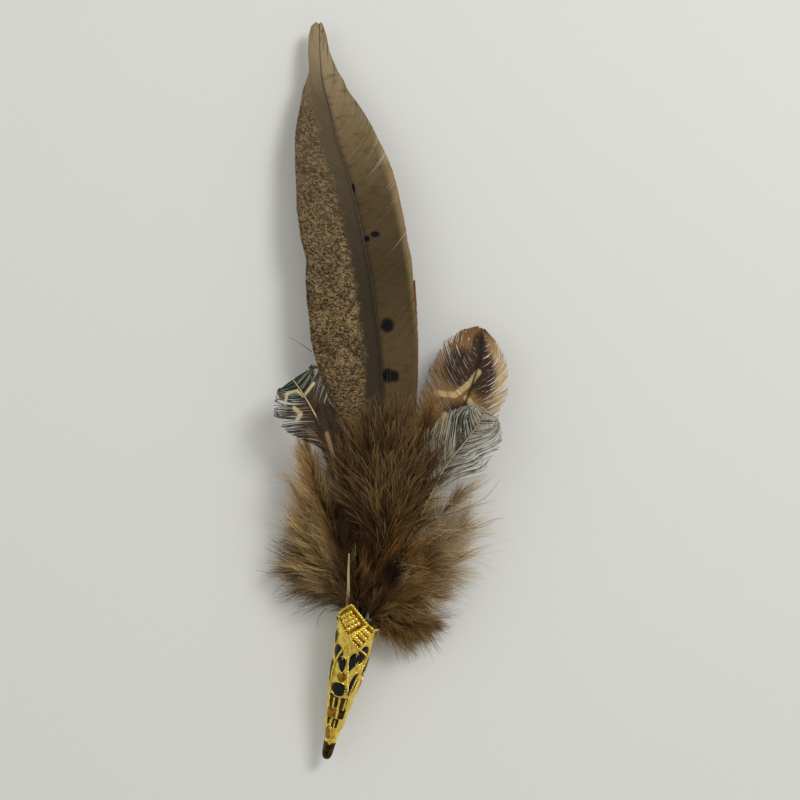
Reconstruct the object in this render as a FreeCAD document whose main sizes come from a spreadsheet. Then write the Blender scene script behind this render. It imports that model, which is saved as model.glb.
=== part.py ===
"""Feather hat pin: a spray of pheasant feathers and down glued into a gilt cone with a brooch pin behind.

The spray lies on its back.  +Z points from the table to the viewer, +Y from the holder's point to the
tail feather's tip, +X to the right.  The origin is under the middle of the bounding box.
Stations of feathers are given in layout millimetres: to the right of and ahead of the holder's point.
"""
import FreeCAD, Part
import math
import os

import Sketcher

Vector = FreeCAD.Vector

doc = FreeCAD.newDocument("feather_hat_pin")

# ---------------------------------------------------------------------------------------------
# Driving dimensions, all in millimetres or degrees
# ---------------------------------------------------------------------------------------------
SIZES = [
    ("point_across", -19.6),        # holder's point, from the origin
    ("point_along", -122.9),
    ("lean", 13.4),                 # holder's turn to the right, seen from the front
    ("rise", 7.0),                  # holder's slope: its back line lies level
    ("holder_length", 47.5),
    ("point_radius", 1.2),
    ("waist_radius", 3.2),
    ("belly_radius", 5.3),
    ("mouth_radius", 7.0),
    ("holder_wall", 0.5),
    ("enamel_depth", 0.2),
    ("crest_half_height", 5.4),
    ("crest_half_width", 4.4),
    ("crest_depth", 1.4),
    ("crest_border", 0.9),
    ("rope_radius", 0.5),
    ("granule_radius", 0.5),
    ("cap_length", 5.5),
    ("pin_height", 1.7),            # pin axis above the table
    ("pin_radius", 0.4),
    ("pin_run", 17.0),              # the full-thickness stretch that fabric slides onto
    ("neck_radius", 0.45),
    ("neck_length", 2.2),
    ("nib_radius", 0.32),           # thinner end that lies in the catch
    ("nib_length", 4.0),
    ("step_length", 0.7),           # cones that join the pin's three thicknesses
    ("nib_taper", 2.5),
    ("eye_radius", 1.25),
    ("eye_thickness", 1.0),
    ("rivet_radius", 0.5),
    ("rivet_length", 3.0),
    ("running_gap", 0.05),
    ("ear_thickness", 0.6),
    ("base_thickness", 0.5),        # of the bracket under the bar
    ("ear_gap", 0.12),
    ("ear_radius", 1.4),
    ("bar_length", 29.0),
    ("bar_width", 5.0),
    ("bar_thickness", 0.8),
    ("bar_start", 12.0),            # bar's near end, from the holder's point
    ("bar_height", 4.0),            # underside of the bar above the table
    ("saddle_height", 2.4),
    ("saddle_length", 20.0),
    ("saddle_inset", 4.5),
    ("catch_radius", 1.7),
    ("catch_width", 1.6),
    ("barrel_radius", 1.15),
    ("barrel_bore", 0.5),
    ("flange_radius", 1.6),
    ("flange_thickness", 0.6),
    ("flange_gap", 0.08),
    ("slot_width", 1.1),
    ("barrel_slot", 1.0),
    ("tab_reach", 3.2),
    ("tab_thickness", 0.6),
    ("hinge_inset", 2.2),
    ("catch_inset", 2.6),
    ("quill_depth", 18.0),          # how far the quills stand in the holder
    ("glue_depth", 22.0),
]

sheet = doc.addObject("Spreadsheet::Sheet", "dims")
for row, (alias, value) in enumerate(SIZES, start=1):
    sheet.set("A%d" % row, alias)
    sheet.set("B%d" % row, str(value))
    sheet.setAlias("B%d" % row, alias)
doc.recompute()

NODES = []


def size(alias):
    """The value of one cell, for places worked out in code."""
    return float(sheet.get(alias))


def bind(feature, **expressions):
    for name, expression in expressions.items():
        feature.setExpression(name, expression)
    return feature


def add(kind, name, **expressions):
    return bind(doc.addObject(kind, name), **expressions)


def keep(feature, label):
    """Marks a feature as a sub-part, with the name of its file."""
    feature.Label = label
    NODES.append(feature)
    return feature


def cut(name, base, tool):
    feature = doc.addObject("Part::Cut", name)
    feature.Base = base
    feature.Tool = tool
    return feature


def common(name, base, tool):
    feature = doc.addObject("Part::Common", name)
    feature.Base = base
    feature.Tool = tool
    return feature


def fuse(name, pieces):
    feature = doc.addObject("Part::MultiFuse", name)
    feature.Shapes = pieces
    return feature


def group(name, pieces):
    feature = doc.addObject("Part::Compound", name)
    feature.Links = pieces
    return feature


# ---------------------------------------------------------------------------------------------
# Frames: the brooch lies level under the holder, the holder climbs towards its mouth
# ---------------------------------------------------------------------------------------------
LEAN = math.radians(size("lean"))
RISE = math.radians(size("rise"))
BELLY_AT = 0.58 * size("holder_length")
POINT_HEIGHT = (size("bar_height") + size("bar_thickness") + size("belly_radius") * math.cos(RISE)
                - BELLY_AT * math.sin(RISE))
TABLE_POINT = Vector(size("point_across"), size("point_along"), 0)
BROOCH = FreeCAD.Placement(TABLE_POINT, FreeCAD.Rotation(Vector(0, 0, 1), -size("lean")))

ALONG = Vector(math.sin(LEAN) * math.cos(RISE), math.cos(LEAN) * math.cos(RISE), math.sin(RISE))
ACROSS = Vector(math.cos(LEAN), -math.sin(LEAN), 0)
BEHIND = ALONG.cross(ACROSS)
HOLDER = FreeCAD.Placement(TABLE_POINT + Vector(0, 0, POINT_HEIGHT),
                           FreeCAD.Rotation(ACROSS, BEHIND, ALONG, "ZXY"))


def local(frame, x, y, z, axis=Vector(0, 0, 1), angle=0.0):
    """A placement inside one of the two frames."""
    return frame.multiply(FreeCAD.Placement(Vector(x, y, z), FreeCAD.Rotation(axis, angle)))


def layout(across, ahead, height):
    """A point of the spray, from millimetres right of and ahead of the holder's point."""
    return TABLE_POINT + Vector(across, ahead, height)


# ---------------------------------------------------------------------------------------------
# Sketch helpers
# ---------------------------------------------------------------------------------------------
def plane(body, role):
    for feature in body.Origin.OriginFeatures:
        if feature.Role == role:
            return feature
    raise ValueError(role)


def sketch_on(body, role, name):
    sketch = body.newObject("Sketcher::SketchObject", name)
    sketch.AttachmentSupport = [(plane(body, role), "")]
    sketch.MapMode = "FlatFace"
    return sketch


def outline(sketch, corners):
    """A closed run of straight lines; every corner's two coordinates are bound to expressions."""
    count = len(corners)
    for index in range(count):
        start = Vector(index, index % 2, 0)
        end = Vector((index + 1) % count, (index + 1) % 2, 0)
        sketch.addGeometry(Part.LineSegment(start, end), False)
    for index in range(count):
        sketch.addConstraint(Sketcher.Constraint("Coincident", index, 2, (index + 1) % count, 1))
    for index, corner in enumerate(corners):
        for direction, expression in zip(("DistanceX", "DistanceY"), corner):
            number = sketch.addConstraint(Sketcher.Constraint(direction, -1, 1, index, 1, 1.0 + index))
            sketch.setExpression("Constraints[%d]" % number, expression)


def lathe(name, profile):
    """A solid of revolution about its own Z, from (radius, height) expressions."""
    body = doc.addObject("PartDesign::Body", name)
    sketch = sketch_on(body, "XZ_Plane", name + "_profile")
    outline(sketch, profile)
    turned = body.newObject("PartDesign::Revolution", name + "_turned")
    turned.Profile = sketch
    turned.ReferenceAxis = (sketch, ["V_Axis"])
    turned.Angle = 360.0
    return body


# ---------------------------------------------------------------------------------------------
# Holder: a stamped cone, open at the mouth
# ---------------------------------------------------------------------------------------------
def cone_profile(offset, start):
    """Half section of the cone, offset outwards, from a height above its point."""
    radii = ["point_radius", "waist_radius", "belly_radius", "mouth_radius"]
    heights = [start, "0.27*dims.holder_length", "0.58*dims.holder_length", "dims.holder_length"]
    side = [("dims.%s + (%s)" % (radius, offset), height) for radius, height in zip(radii, heights)]
    return [("0", start)] + side + [("0", "dims.holder_length")]


holder_form = lathe("holder_form", cone_profile("0", "0"))
holder_cavity = lathe("holder_cavity", cone_profile("-dims.holder_wall", "3*dims.holder_wall"))
enamel_form = lathe("enamel_form", cone_profile("dims.enamel_depth", "0"))
for form in (holder_form, holder_cavity, enamel_form):
    form.Placement = HOLDER
keep(cut("holder_shell", holder_form, holder_cavity), "holder_cone")


def on_holder(height, turn, lift=0.0):
    """A placement on the holder's face: Z outwards, Y towards the mouth; turn 0 faces the viewer."""
    steps = [(0.0, size("point_radius")), (0.27 * size("holder_length"), size("waist_radius")),
             (BELLY_AT, size("belly_radius")), (size("holder_length"), size("mouth_radius")),
             (2 * size("holder_length"), 2 * size("mouth_radius") - size("point_radius"))]
    for (low, low_radius), (high, high_radius) in zip(steps, steps[1:]):
        if low <= height <= high:
            radius = low_radius + (high_radius - low_radius) * (height - low) / (high - low)
            slope = math.degrees(math.atan2(high_radius - low_radius, high - low))
            break
    around = local(HOLDER, 0, 0, height, Vector(0, 0, 1), turn)
    outward = FreeCAD.Placement(Vector(0, -radius - lift, 0), FreeCAD.Rotation(Vector(1, 0, 0), 90 + slope))
    return around.multiply(outward)


def lozenge(name, half_width, half_height, depth):
    body = doc.addObject("PartDesign::Body", name)
    sketch = sketch_on(body, "XY_Plane", name + "_outline")
    outline(sketch, [(half_width, "0"), ("0", half_height), ("-(%s)" % half_width, "0"),
                     ("0", "-(%s)" % half_height)])
    pad = body.newObject("PartDesign::Pad", name + "_pad")
    pad.Profile = sketch
    bind(pad, Length=depth)
    return body


CREST_HEIGHT = size("holder_length") - 0.2
CREST_TURN = -19.0
CREST_SEAT = on_holder(CREST_HEIGHT, CREST_TURN, -0.9)

crest_block = lozenge("crest_block", "dims.crest_half_width", "dims.crest_half_height", "dims.crest_depth")
crest_block.Placement = CREST_SEAT
crest_inner = lozenge("crest_inner", "dims.crest_half_width - dims.crest_border",
                      "dims.crest_half_height - dims.crest_border", "3*dims.crest_depth")
crest_inner.Placement = CREST_SEAT.multiply(FreeCAD.Placement(Vector(0, 0, size("crest_depth")),
                                                              FreeCAD.Rotation()))
crest_plate = keep(cut("crest_plate_cut", crest_block, holder_form), "crest_plate")

border_block = lozenge("border_block", "dims.crest_half_width", "dims.crest_half_height",
                       "dims.crest_border")
border_block.Placement = crest_inner.Placement
keep(cut("crest_border_cut", border_block, crest_inner), "crest_rope_border")

granules = []
for line in range(-1, 2):
    for column in range(-1, 2):
        bead = add("Part::Sphere", "granule", Radius="dims.granule_radius")
        step_across = 0.24 * size("crest_half_width") * (line - column)
        step_along = 0.24 * size("crest_half_height") * (line + column)
        bead.Placement = crest_inner.Placement.multiply(
            FreeCAD.Placement(Vector(step_across, step_along, 0), FreeCAD.Rotation()))
        granules.append(bead)
keep(cut("granule_domes", group("granule_set", granules), crest_plate), "crest_granules")

# Twisted wires: one rib down the front and one to each side, half sunk in the cone's face
RIBS = [(4.0, -4.0, 38.0, -14.0), (20.0, 48.0, 41.0, -4.0), (20.0, -62.0, 41.0, -34.0)]
rope_pieces = []
for low, low_turn, high, high_turn in RIBS:
    first = on_holder(low, low_turn).Base
    last = on_holder(high, high_turn).Base
    wire = add("Part::Cylinder", "rope", Radius="dims.rope_radius")
    wire.Height = first.distanceToPoint(last)
    wire.Placement = FreeCAD.Placement(first, FreeCAD.Rotation(Vector(0, 0, 1), last - first))
    rope_pieces.append(wire)
rope_form = fuse("rope_form", rope_pieces)
keep(cut("rope_cut", cut("rope_trim", rope_form, holder_form), crest_plate), "rope_wires")

# Black enamel leaves between the wires: height, turn, half length, half width
LEAVES = [(35.0, -58.0, 3.0, 1.1), (33.0, 40.0, 2.6, 1.0), (30.0, -32.0, 2.2, 0.9), (30.0, 12.0, 2.4, 0.9),
          (23.0, -44.0, 2.6, 1.1), (24.5, 22.0, 3.2, 1.1), (27.0, 88.0, 3.0, 1.2), (27.0, -100.0, 3.0, 1.2),
          (27.0, 128.0, 3.0, 1.2), (27.0, -138.0, 3.0, 1.2)]
enamel_skin = cut("enamel_skin", enamel_form, holder_form)
leaves = []
for height, turn, half_length, half_width in LEAVES:
    rim = doc.addObject("Part::Ellipse", "leaf_rim")
    rim.MajorRadius = half_length
    rim.MinorRadius = half_width
    rim.Placement = on_holder(height, turn, -1.0).multiply(
        FreeCAD.Placement(Vector(), FreeCAD.Rotation(Vector(0, 0, 1), 90)))
    prism = doc.addObject("Part::Extrusion", "leaf_prism")
    prism.Base = rim
    prism.DirMode = "Custom"
    prism.Dir = rim.Placement.Rotation.multVec(Vector(0, 0, 1))
    prism.LengthFwd = 3.0
    prism.Solid = True
    leaves.append(cut("leaf_trim", common("leaf", enamel_skin, prism), rope_form))
keep(group("enamel_group", leaves), "enamel_fields")

# Blunt two-lobed cap over the point
cap_outer = lathe("cap_outer", [("0", "-0.6"), ("dims.point_radius", "-0.6"),
                                ("dims.point_radius + 0.9", "dims.cap_length"), ("0", "dims.cap_length")])
cap_outer.Placement = HOLDER
keep(cut("cap_cut", cut("cap_shell", cap_outer, holder_form), rope_form), "tip_cap")

# ---------------------------------------------------------------------------------------------
# Brooch finding behind the holder: bar, hinge, pin and turning catch
# ---------------------------------------------------------------------------------------------
HINGE_AT = size("bar_start") + size("bar_length") - size("hinge_inset")
CATCH_AT = size("bar_start") + size("catch_inset")
X_AXIS = Vector(1, 0, 0)
Y_AXIS = Vector(0, 1, 0)


def box(name, middle, **expressions):
    """A box in the brooch's frame, centred across and along on middle, standing on its height."""
    block = add("Part::Box", name, **expressions)
    doc.recompute()
    across, along, base = middle
    corner_x = across - block.Length.Value / 2
    corner_y = along - block.Width.Value / 2
    block.Placement = local(BROOCH, corner_x, corner_y, base)
    return block


def rod(name, start, direction, kind="Part::Cylinder", **expressions):
    """A cylinder or cone in the brooch's frame, from start along direction."""
    bar = add(kind, name, **expressions)
    turn = FreeCAD.Placement(Vector(*start), FreeCAD.Rotation(Vector(0, 0, 1), direction))
    bar.Placement = BROOCH.multiply(turn)
    return bar


bar_body = doc.addObject("PartDesign::Body", "bar_body")
bar_sketch = sketch_on(bar_body, "XY_Plane", "bar_outline")
outline(bar_sketch, [("-dims.bar_width/2", "0"), ("dims.bar_width/2", "0"),
                     ("dims.bar_width/2", "dims.bar_length"), ("-dims.bar_width/2", "dims.bar_length")])
bar_pad = bar_body.newObject("PartDesign::Pad", "bar_pad")
bar_pad.Profile = bar_sketch
bind(bar_pad, Length="dims.bar_thickness")
doc.recompute()
upright_edges = []
for number, edge in enumerate(bar_pad.Shape.Edges, start=1):
    if abs(edge.tangentAt(edge.FirstParameter).z) > 0.9:
        upright_edges.append("Edge%d" % number)
bar_corners = bar_body.newObject("PartDesign::Fillet", "bar_corners")
bar_corners.Base = (bar_pad, upright_edges)
bind(bar_corners, Radius="0.45*dims.bar_width")
bar_body.Placement = local(BROOCH, 0, size("bar_start"), size("bar_height"))
keep(bar_body, "brooch_bar")

BAR_TOP = size("bar_height") + size("bar_thickness")
saddle_middle = size("bar_start") + size("saddle_inset") + size("saddle_length") / 2
saddle_block = box("saddle_block", (0, saddle_middle, BAR_TOP), Length="0.8*dims.bar_width",
                   Width="dims.saddle_length", Height="dims.saddle_height")
keep(cut("saddle_cut", saddle_block, holder_form), "solder_saddle")

# Hinge bracket: two ears under a base, and the rivet through them
ear_solids = []
for side in (-1, 1):
    inner = side * (size("eye_thickness") / 2 + size("ear_gap"))
    disc = rod("ear_disc", (inner, HINGE_AT, size("pin_height")), X_AXIS * side, Radius="dims.ear_radius",
               Height="dims.ear_thickness")
    web = box("ear_web", (inner + side * size("ear_thickness") / 2, HINGE_AT, size("pin_height")),
              Length="dims.ear_thickness", Width="2*dims.ear_radius",
              Height="dims.bar_height - dims.pin_height")
    ear_solids += [disc, web]
bracket_base = box("bracket_base", (0, HINGE_AT, size("bar_height") - size("base_thickness")),
                   Length="dims.eye_thickness + 2*dims.ear_gap + 2*dims.ear_thickness",
                   Width="2*dims.ear_radius", Height="dims.base_thickness")
rivet = rod("rivet", (-size("rivet_length") / 2, HINGE_AT, size("pin_height")), X_AXIS,
            Radius="dims.rivet_radius", Height="dims.rivet_length")
keep(rivet, "hinge_rivet")
keep(cut("bracket_cut", fuse("bracket_form", ear_solids + [bracket_base]), rivet), "hinge_bracket")

# Pin: eye on the rivet, stiff neck, full-thickness run, thinner end and point
NECK_START = 0.8                    # inside the eye, clear of the rivet
neck_end = size("eye_radius") + size("neck_length")
run_end = neck_end + size("pin_run")
nib_end = run_end + size("nib_length")
eye = rod("eye", (-size("eye_thickness") / 2, HINGE_AT, size("pin_height")), X_AXIS,
          Radius="dims.eye_radius", Height="dims.eye_thickness")
stem = []
for name, start, radius, length in [("neck", NECK_START, "dims.neck_radius",
                                     neck_end - NECK_START - size("step_length")),
                                    ("run", neck_end, "dims.pin_radius", size("pin_run")),
                                    ("nib", run_end + size("step_length"), "dims.nib_radius",
                                     size("nib_length") - size("step_length"))]:
    piece = rod("pin_" + name, (0, HINGE_AT - start, size("pin_height")), -Y_AXIS, Radius=radius)
    piece.Height = length
    stem.append(piece)
for name, start, wide, narrow in [("shoulder", neck_end - size("step_length"),
                                   "dims.neck_radius", "dims.pin_radius"),
                                  ("heel", run_end, "dims.pin_radius", "dims.nib_radius")]:
    stem.append(rod("pin_" + name, (0, HINGE_AT - start, size("pin_height")), -Y_AXIS, "Part::Cone",
                    Radius1=wide, Radius2=narrow, Height="dims.step_length"))
point = rod("pin_point", (0, HINGE_AT - nib_end, size("pin_height")), -Y_AXIS, "Part::Cone",
            Radius1="dims.nib_radius", Height="dims.nib_taper")
point.Radius2 = 0.06
eye_bore = rod("eye_bore", (-size("eye_thickness"), HINGE_AT, size("pin_height")), X_AXIS,
               Radius="dims.rivet_radius + dims.running_gap", Height="2*dims.eye_thickness")
keep(cut("pin_cut", fuse("pin_form", [eye, point] + stem), eye_bore), "pin_stem")

# Fixed half of the catch: a ring open at the bottom, on a short post
half_width = size("catch_width") / 2
ring = rod("catch_hoop", (0, CATCH_AT - half_width, size("pin_height")), Y_AXIS,
           Radius="dims.catch_radius", Height="dims.catch_width")
post = box("catch_post", (0, CATCH_AT, size("pin_height") + 1.3), Length="dims.catch_radius",
           Width="dims.catch_width", Height="dims.bar_height - dims.pin_height - 1.3")
ring_bore = rod("ring_bore", (0, CATCH_AT - 2 * half_width, size("pin_height")), Y_AXIS,
                Radius="dims.barrel_radius + dims.running_gap", Height="2*dims.catch_width")
ring_slot = box("ring_slot", (0, CATCH_AT, size("pin_height") - size("catch_radius") - 1.0),
                Length="dims.slot_width", Width="2*dims.catch_width", Height="dims.catch_radius + 1")
keep(cut("catch_cut", fuse("catch_form", [ring, post]), fuse("catch_hollow", [ring_bore, ring_slot])),
     "catch_ring")

# Turning half: a slotted barrel between two flanges, with a thumb tab; its slot stands open at rest
flange_start = half_width + size("flange_gap")
barrel_end = flange_start + size("flange_thickness")
barrel_core = rod("barrel_core", (0, CATCH_AT - barrel_end, size("pin_height")), Y_AXIS,
                  Radius="dims.barrel_radius",
                  Height="dims.catch_width + 2*dims.flange_gap + 2*dims.flange_thickness")
barrel_pieces = [barrel_core]
for begin in (-barrel_end, flange_start):
    barrel_pieces.append(rod("flange", (0, CATCH_AT + begin, size("pin_height")), Y_AXIS,
                             Radius="dims.flange_radius", Height="dims.flange_thickness"))
tab_middle = (size("barrel_radius") + size("tab_reach")) / 2
barrel_pieces.append(box("thumb_tab", (tab_middle, CATCH_AT - barrel_end + size("flange_thickness") / 2,
                                       size("pin_height") - size("tab_thickness") / 2),
                         Length="dims.tab_reach - dims.barrel_radius", Width="dims.flange_thickness",
                         Height="dims.tab_thickness"))
barrel_bore = rod("barrel_bore_rod", (0, CATCH_AT - 2 * barrel_end, size("pin_height")), Y_AXIS,
                  Radius="dims.barrel_bore", Height="6*dims.catch_width")
barrel_slot = box("barrel_slot_box", (0, CATCH_AT, size("pin_height") - size("flange_radius") - 1.0),
                  Length="dims.barrel_slot", Width="6*dims.catch_width", Height="dims.flange_radius + 1")
keep(cut("barrel_cut", fuse("barrel_form", barrel_pieces), fuse("barrel_hollow", [barrel_bore, barrel_slot])),
     "catch_barrel")

# ---------------------------------------------------------------------------------------------
# Feathers: each is a round shaft and a thin lens-shaped vane, both lofted along hand-set stations
# ---------------------------------------------------------------------------------------------
QUILL_START = size("holder_length") - size("quill_depth")
RING_STEP = 12.0                    # spacing of the rings that a quill is lofted through
SPAN_STEP = 8.0                     # the same for quills made of straight spans
SPANNED = ("scapular_quill", "hackle_left_quill", "hackle_right_quill")
NARROW = 0.7                        # how much closer the quills stand at their ends than in the mouth


def holder_axis(height, across=0.0, front=0.0):
    """A point inside the holder or its mouth."""
    return HOLDER.multVec(Vector(across, -front, height))


def section(kind, name, place, heading, **radii):
    ring = doc.addObject(kind, name)
    for prop, value in radii.items():
        setattr(ring, prop, value)
    side = heading.cross(Vector(0, 0, 1)).normalize()
    ring.Placement = FreeCAD.Placement(place, FreeCAD.Rotation(side, Vector(), heading, "ZXY"))
    return ring


def headings(points):
    """The direction of a run of points at each point."""
    result = []
    for index in range(len(points)):
        before = points[max(index - 1, 0)]
        after = points[min(index + 1, len(points) - 1)]
        result.append((after - before).normalize())
    return result


def loft(name, rings, ruled=False):
    feature = doc.addObject("Part::Loft", name)
    feature.Sections = rings
    feature.Solid = True
    feature.Ruled = ruled
    return feature


def shaft(name, points, thick, thin):
    """A round tapered quill along a smooth line through the points, from the holder outwards."""
    line = Part.BSplineCurve()
    line.interpolate(points)
    spanned = name in SPANNED
    step = SPAN_STEP if spanned else RING_STEP
    places = line.discretize(Number=2 + round(line.length() / step))
    rings = []
    for index, place in enumerate(places):
        heading = Vector(*line.tangent(line.parameter(place))[0])
        radius = thick + (thin - thick) * index / (len(places) - 1)
        rings.append(section("Part::Circle", name + "_ring", place, heading, Radius=radius))
    return loft(name, rings, ruled=spanned)


def vane(name, stations, half_depth):
    """A thin lens: stations are (across, ahead, height, half width) in layout millimetres."""
    points = [layout(*station[:3]) for station in stations]
    rings = []
    for (across, ahead, height, half_width), point, heading in zip(stations, points, headings(points)):
        depth = min(half_depth, 0.6 * half_width)
        rings.append(section("Part::Ellipse", name + "_ring", point, heading,
                             MajorRadius=half_width, MinorRadius=depth))
    return loft(name, rings)


# name: (entry in the mouth: across, front), shaft points outside the mouth, thick and thin radius,
#       vane stations, vane half depth
FEATHERS = {
    "tail": {
        "entry": (0.0, -0.5),
        "shaft": [(14.8, 66.7, 14.0), (18.2, 96.7, 15.5), (19.0, 119.3, 16.0), (18.2, 137.0, 16.2),
                  (16.5, 150.7, 16.0), (13.5, 169.3, 15.4), (10.0, 185.3, 14.4), (6.2, 199.0, 13.2),
                  (1.5, 216.7, 11.2), (-0.8, 225.0, 10.0), (-1.8, 233.3, 8.8), (-2.2, 244.0, 7.4)],
        "radii": (1.1, 0.3),
        "vane": [(16.5, 96.7, 15.5, 3.0), (16.8, 110.0, 15.8, 9.5), (15.6, 122.0, 16.0, 14.2),
                 (13.6, 133.0, 16.2, 16.8), (12.4, 145.0, 16.1, 17.7), (11.2, 163.3, 15.7, 17.8),
                 (8.0, 183.3, 14.6, 17.5), (4.7, 203.3, 12.8, 14.8), (1.7, 216.7, 11.2, 10.5),
                 (-0.2, 226.0, 9.8, 6.2), (-1.8, 236.0, 8.4, 3.3), (-2.3, 246.6, 7.0, 1.2)],
        "depth": 0.6,
    },
    "scapular": {
        "entry": (3.4, -1.4),
        "shaft": [(16.5, 58.4, 12.2), (24.8, 76.7, 12.6), (33.0, 95.0, 13.0), (38.0, 107.0, 13.2),
                  (43.5, 116.0, 13.2), (48.0, 126.0, 13.0), (51.0, 137.0, 12.6), (51.8, 142.5, 12.3)],
        "radii": (0.7, 0.2),
        "vane": [(33.0, 95.0, 13.0, 3.0), (37.6, 105.0, 13.2, 8.5), (42.6, 114.0, 13.2, 12.0),
                 (47.4, 124.0, 13.0, 12.2), (50.4, 133.5, 12.7, 9.5), (51.9, 143.5, 12.2, 2.0)],
        "depth": 0.5,
    },
    "blue_grey": {
        "entry": (4.4, 1.2),
        "shaft": [(19.5, 60.0, 19.0), (27.5, 74.0, 20.5), (34.3, 87.5, 21.0), (38.5, 96.0, 21.2),
                  (45.0, 105.5, 21.2), (51.0, 113.0, 20.8), (53.4, 116.5, 20.4)],
        "radii": (0.55, 0.18),
        "vane": [(34.3, 87.5, 21.0, 2.2), (37.8, 95.0, 21.2, 7.0), (43.0, 102.5, 21.2, 8.8),
                 (48.6, 109.5, 21.0, 7.2), (53.8, 117.0, 20.4, 1.6)],
        "depth": 0.4,
    },
    "green": {
        "entry": (-4.0, 1.4),
        "shaft": [(7.6, 66.0, 17.5), (6.0, 84.0, 19.0), (3.4, 98.0, 19.4), (0.6, 108.0, 19.4),
                  (-3.4, 116.0, 19.2), (-6.6, 122.0, 18.8), (-9.6, 128.5, 18.4)],
        "radii": (0.6, 0.2),
        "vane": [(4.2, 95.0, 19.4, 2.0), (1.0, 107.0, 19.4, 4.4), (-3.0, 115.5, 19.2, 6.6),
                 (-6.6, 122.5, 18.8, 8.8), (-9.2, 128.5, 18.4, 8.2), (-10.4, 132.0, 18.0, 5.0)],
        "depth": 0.4,
    },
    "dark": {
        "entry": (-2.8, 3.2),
        "shaft": [(8.6, 68.0, 19.5), (7.9, 84.0, 21.5), (6.8, 94.0, 22.2), (4.8, 104.0, 22.2),
                  (1.8, 114.0, 21.8), (-1.6, 123.0, 21.2)],
        "radii": (0.5, 0.18),
        "vane": [(7.9, 84.0, 21.5, 1.8), (6.8, 94.0, 22.2, 3.4), (4.8, 104.0, 22.2, 3.6),
                 (1.8, 114.0, 21.8, 3.0), (-2.2, 125.0, 21.2, 1.2)],
        "depth": 0.4,
    },
    "rufous": {
        "entry": (1.6, -3.6),
        "shaft": [(17.5, 64.0, 8.0), (24.0, 92.0, 9.6), (26.6, 112.0, 11.0), (27.6, 132.0, 12.2),
                  (28.2, 150.0, 12.8), (28.6, 155.0, 12.8)],
        "radii": (0.6, 0.2),
        "vane": [(24.0, 92.0, 9.6, 2.0), (26.4, 112.0, 11.0, 4.4), (27.2, 130.0, 12.1, 3.8),
                 (27.9, 146.0, 12.7, 2.6), (28.8, 158.0, 12.8, 1.2)],
        "depth": 0.4,
    },
    "hackle_left": {
        "entry": (-0.8, 4.0),
        "shaft": [(11.5, 66.0, 21.0), (12.6, 82.0, 23.2), (12.0, 96.0, 23.8), (11.0, 106.0, 23.6),
                  (10.4, 113.0, 23.2)],
        "radii": (0.45, 0.16),
        "vane": [(12.6, 82.0, 23.2, 2.0), (12.2, 92.0, 23.8, 4.2), (11.2, 103.0, 23.7, 4.2),
                 (10.2, 115.0, 23.0, 1.4)],
        "depth": 0.4,
    },
    "hackle_middle": {
        "entry": (1.2, 4.4),
        "shaft": [(14.0, 64.0, 21.5), (18.6, 82.0, 24.6), (21.2, 98.0, 25.4), (22.0, 112.0, 25.0),
                  (22.4, 122.0, 24.2)],
        "radii": (0.45, 0.16),
        "vane": [(18.6, 82.0, 24.6, 2.4), (20.8, 95.0, 25.4, 5.4), (21.8, 109.0, 25.1, 5.6),
                 (22.6, 125.0, 24.0, 1.6)],
        "depth": 0.4,
    },
    "hackle_right": {
        "entry": (3.0, 3.4),
        "shaft": [(16.5, 62.0, 20.0), (23.5, 78.0, 23.6), (28.0, 92.0, 24.6), (31.0, 104.0, 24.2),
                  (32.8, 112.0, 23.6)],
        "radii": (0.45, 0.16),
        "vane": [(23.5, 78.0, 23.6, 2.4), (27.4, 90.0, 24.6, 5.2), (30.4, 101.5, 24.3, 5.0),
                 (33.4, 114.5, 23.4, 1.6)],
        "depth": 0.4,
    },
}

shafts = {}
for name, plan in FEATHERS.items():
    across, front = plan["entry"]
    route = [holder_axis(QUILL_START, across * NARROW, front * NARROW),
             holder_axis(size("holder_length") + 1.0, across, front)]
    route += [layout(*point) for point in plan["shaft"]]
    shafts[name] = keep(shaft(name + "_quill", route, *plan["radii"]), name + "_shaft")
    blade = vane(name + "_lens", plan["vane"], plan["depth"])
    keep(cut(name + "_blade", blade, shafts[name]), name + "_vane")

# A stripped quill, bare and cream, that shows in front of the down
bare_route = [holder_axis(QUILL_START, -2.6 * NARROW, 4.7 * NARROW),
              holder_axis(size("holder_length") + 1.0, -2.6, 4.7), layout(7.8, 60.0, 19.8),
              layout(7.8, 75.0, 22.0)]
shafts["bare"] = keep(shaft("bare_quill_loft", bare_route, 0.6, 0.4), "bare_quill")

# ---------------------------------------------------------------------------------------------
# Glue that fills the holder; the quills stand in it
# ---------------------------------------------------------------------------------------------
glue_slab = add("Part::Cylinder", "glue_slab", Radius="2*dims.mouth_radius",
                Height="dims.glue_depth - 1.5")
glue_slab.Placement = local(HOLDER, 0, 0, size("holder_length") - size("glue_depth"))
keep(common("glue_form", holder_cavity, glue_slab), "glue_plug")

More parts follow.
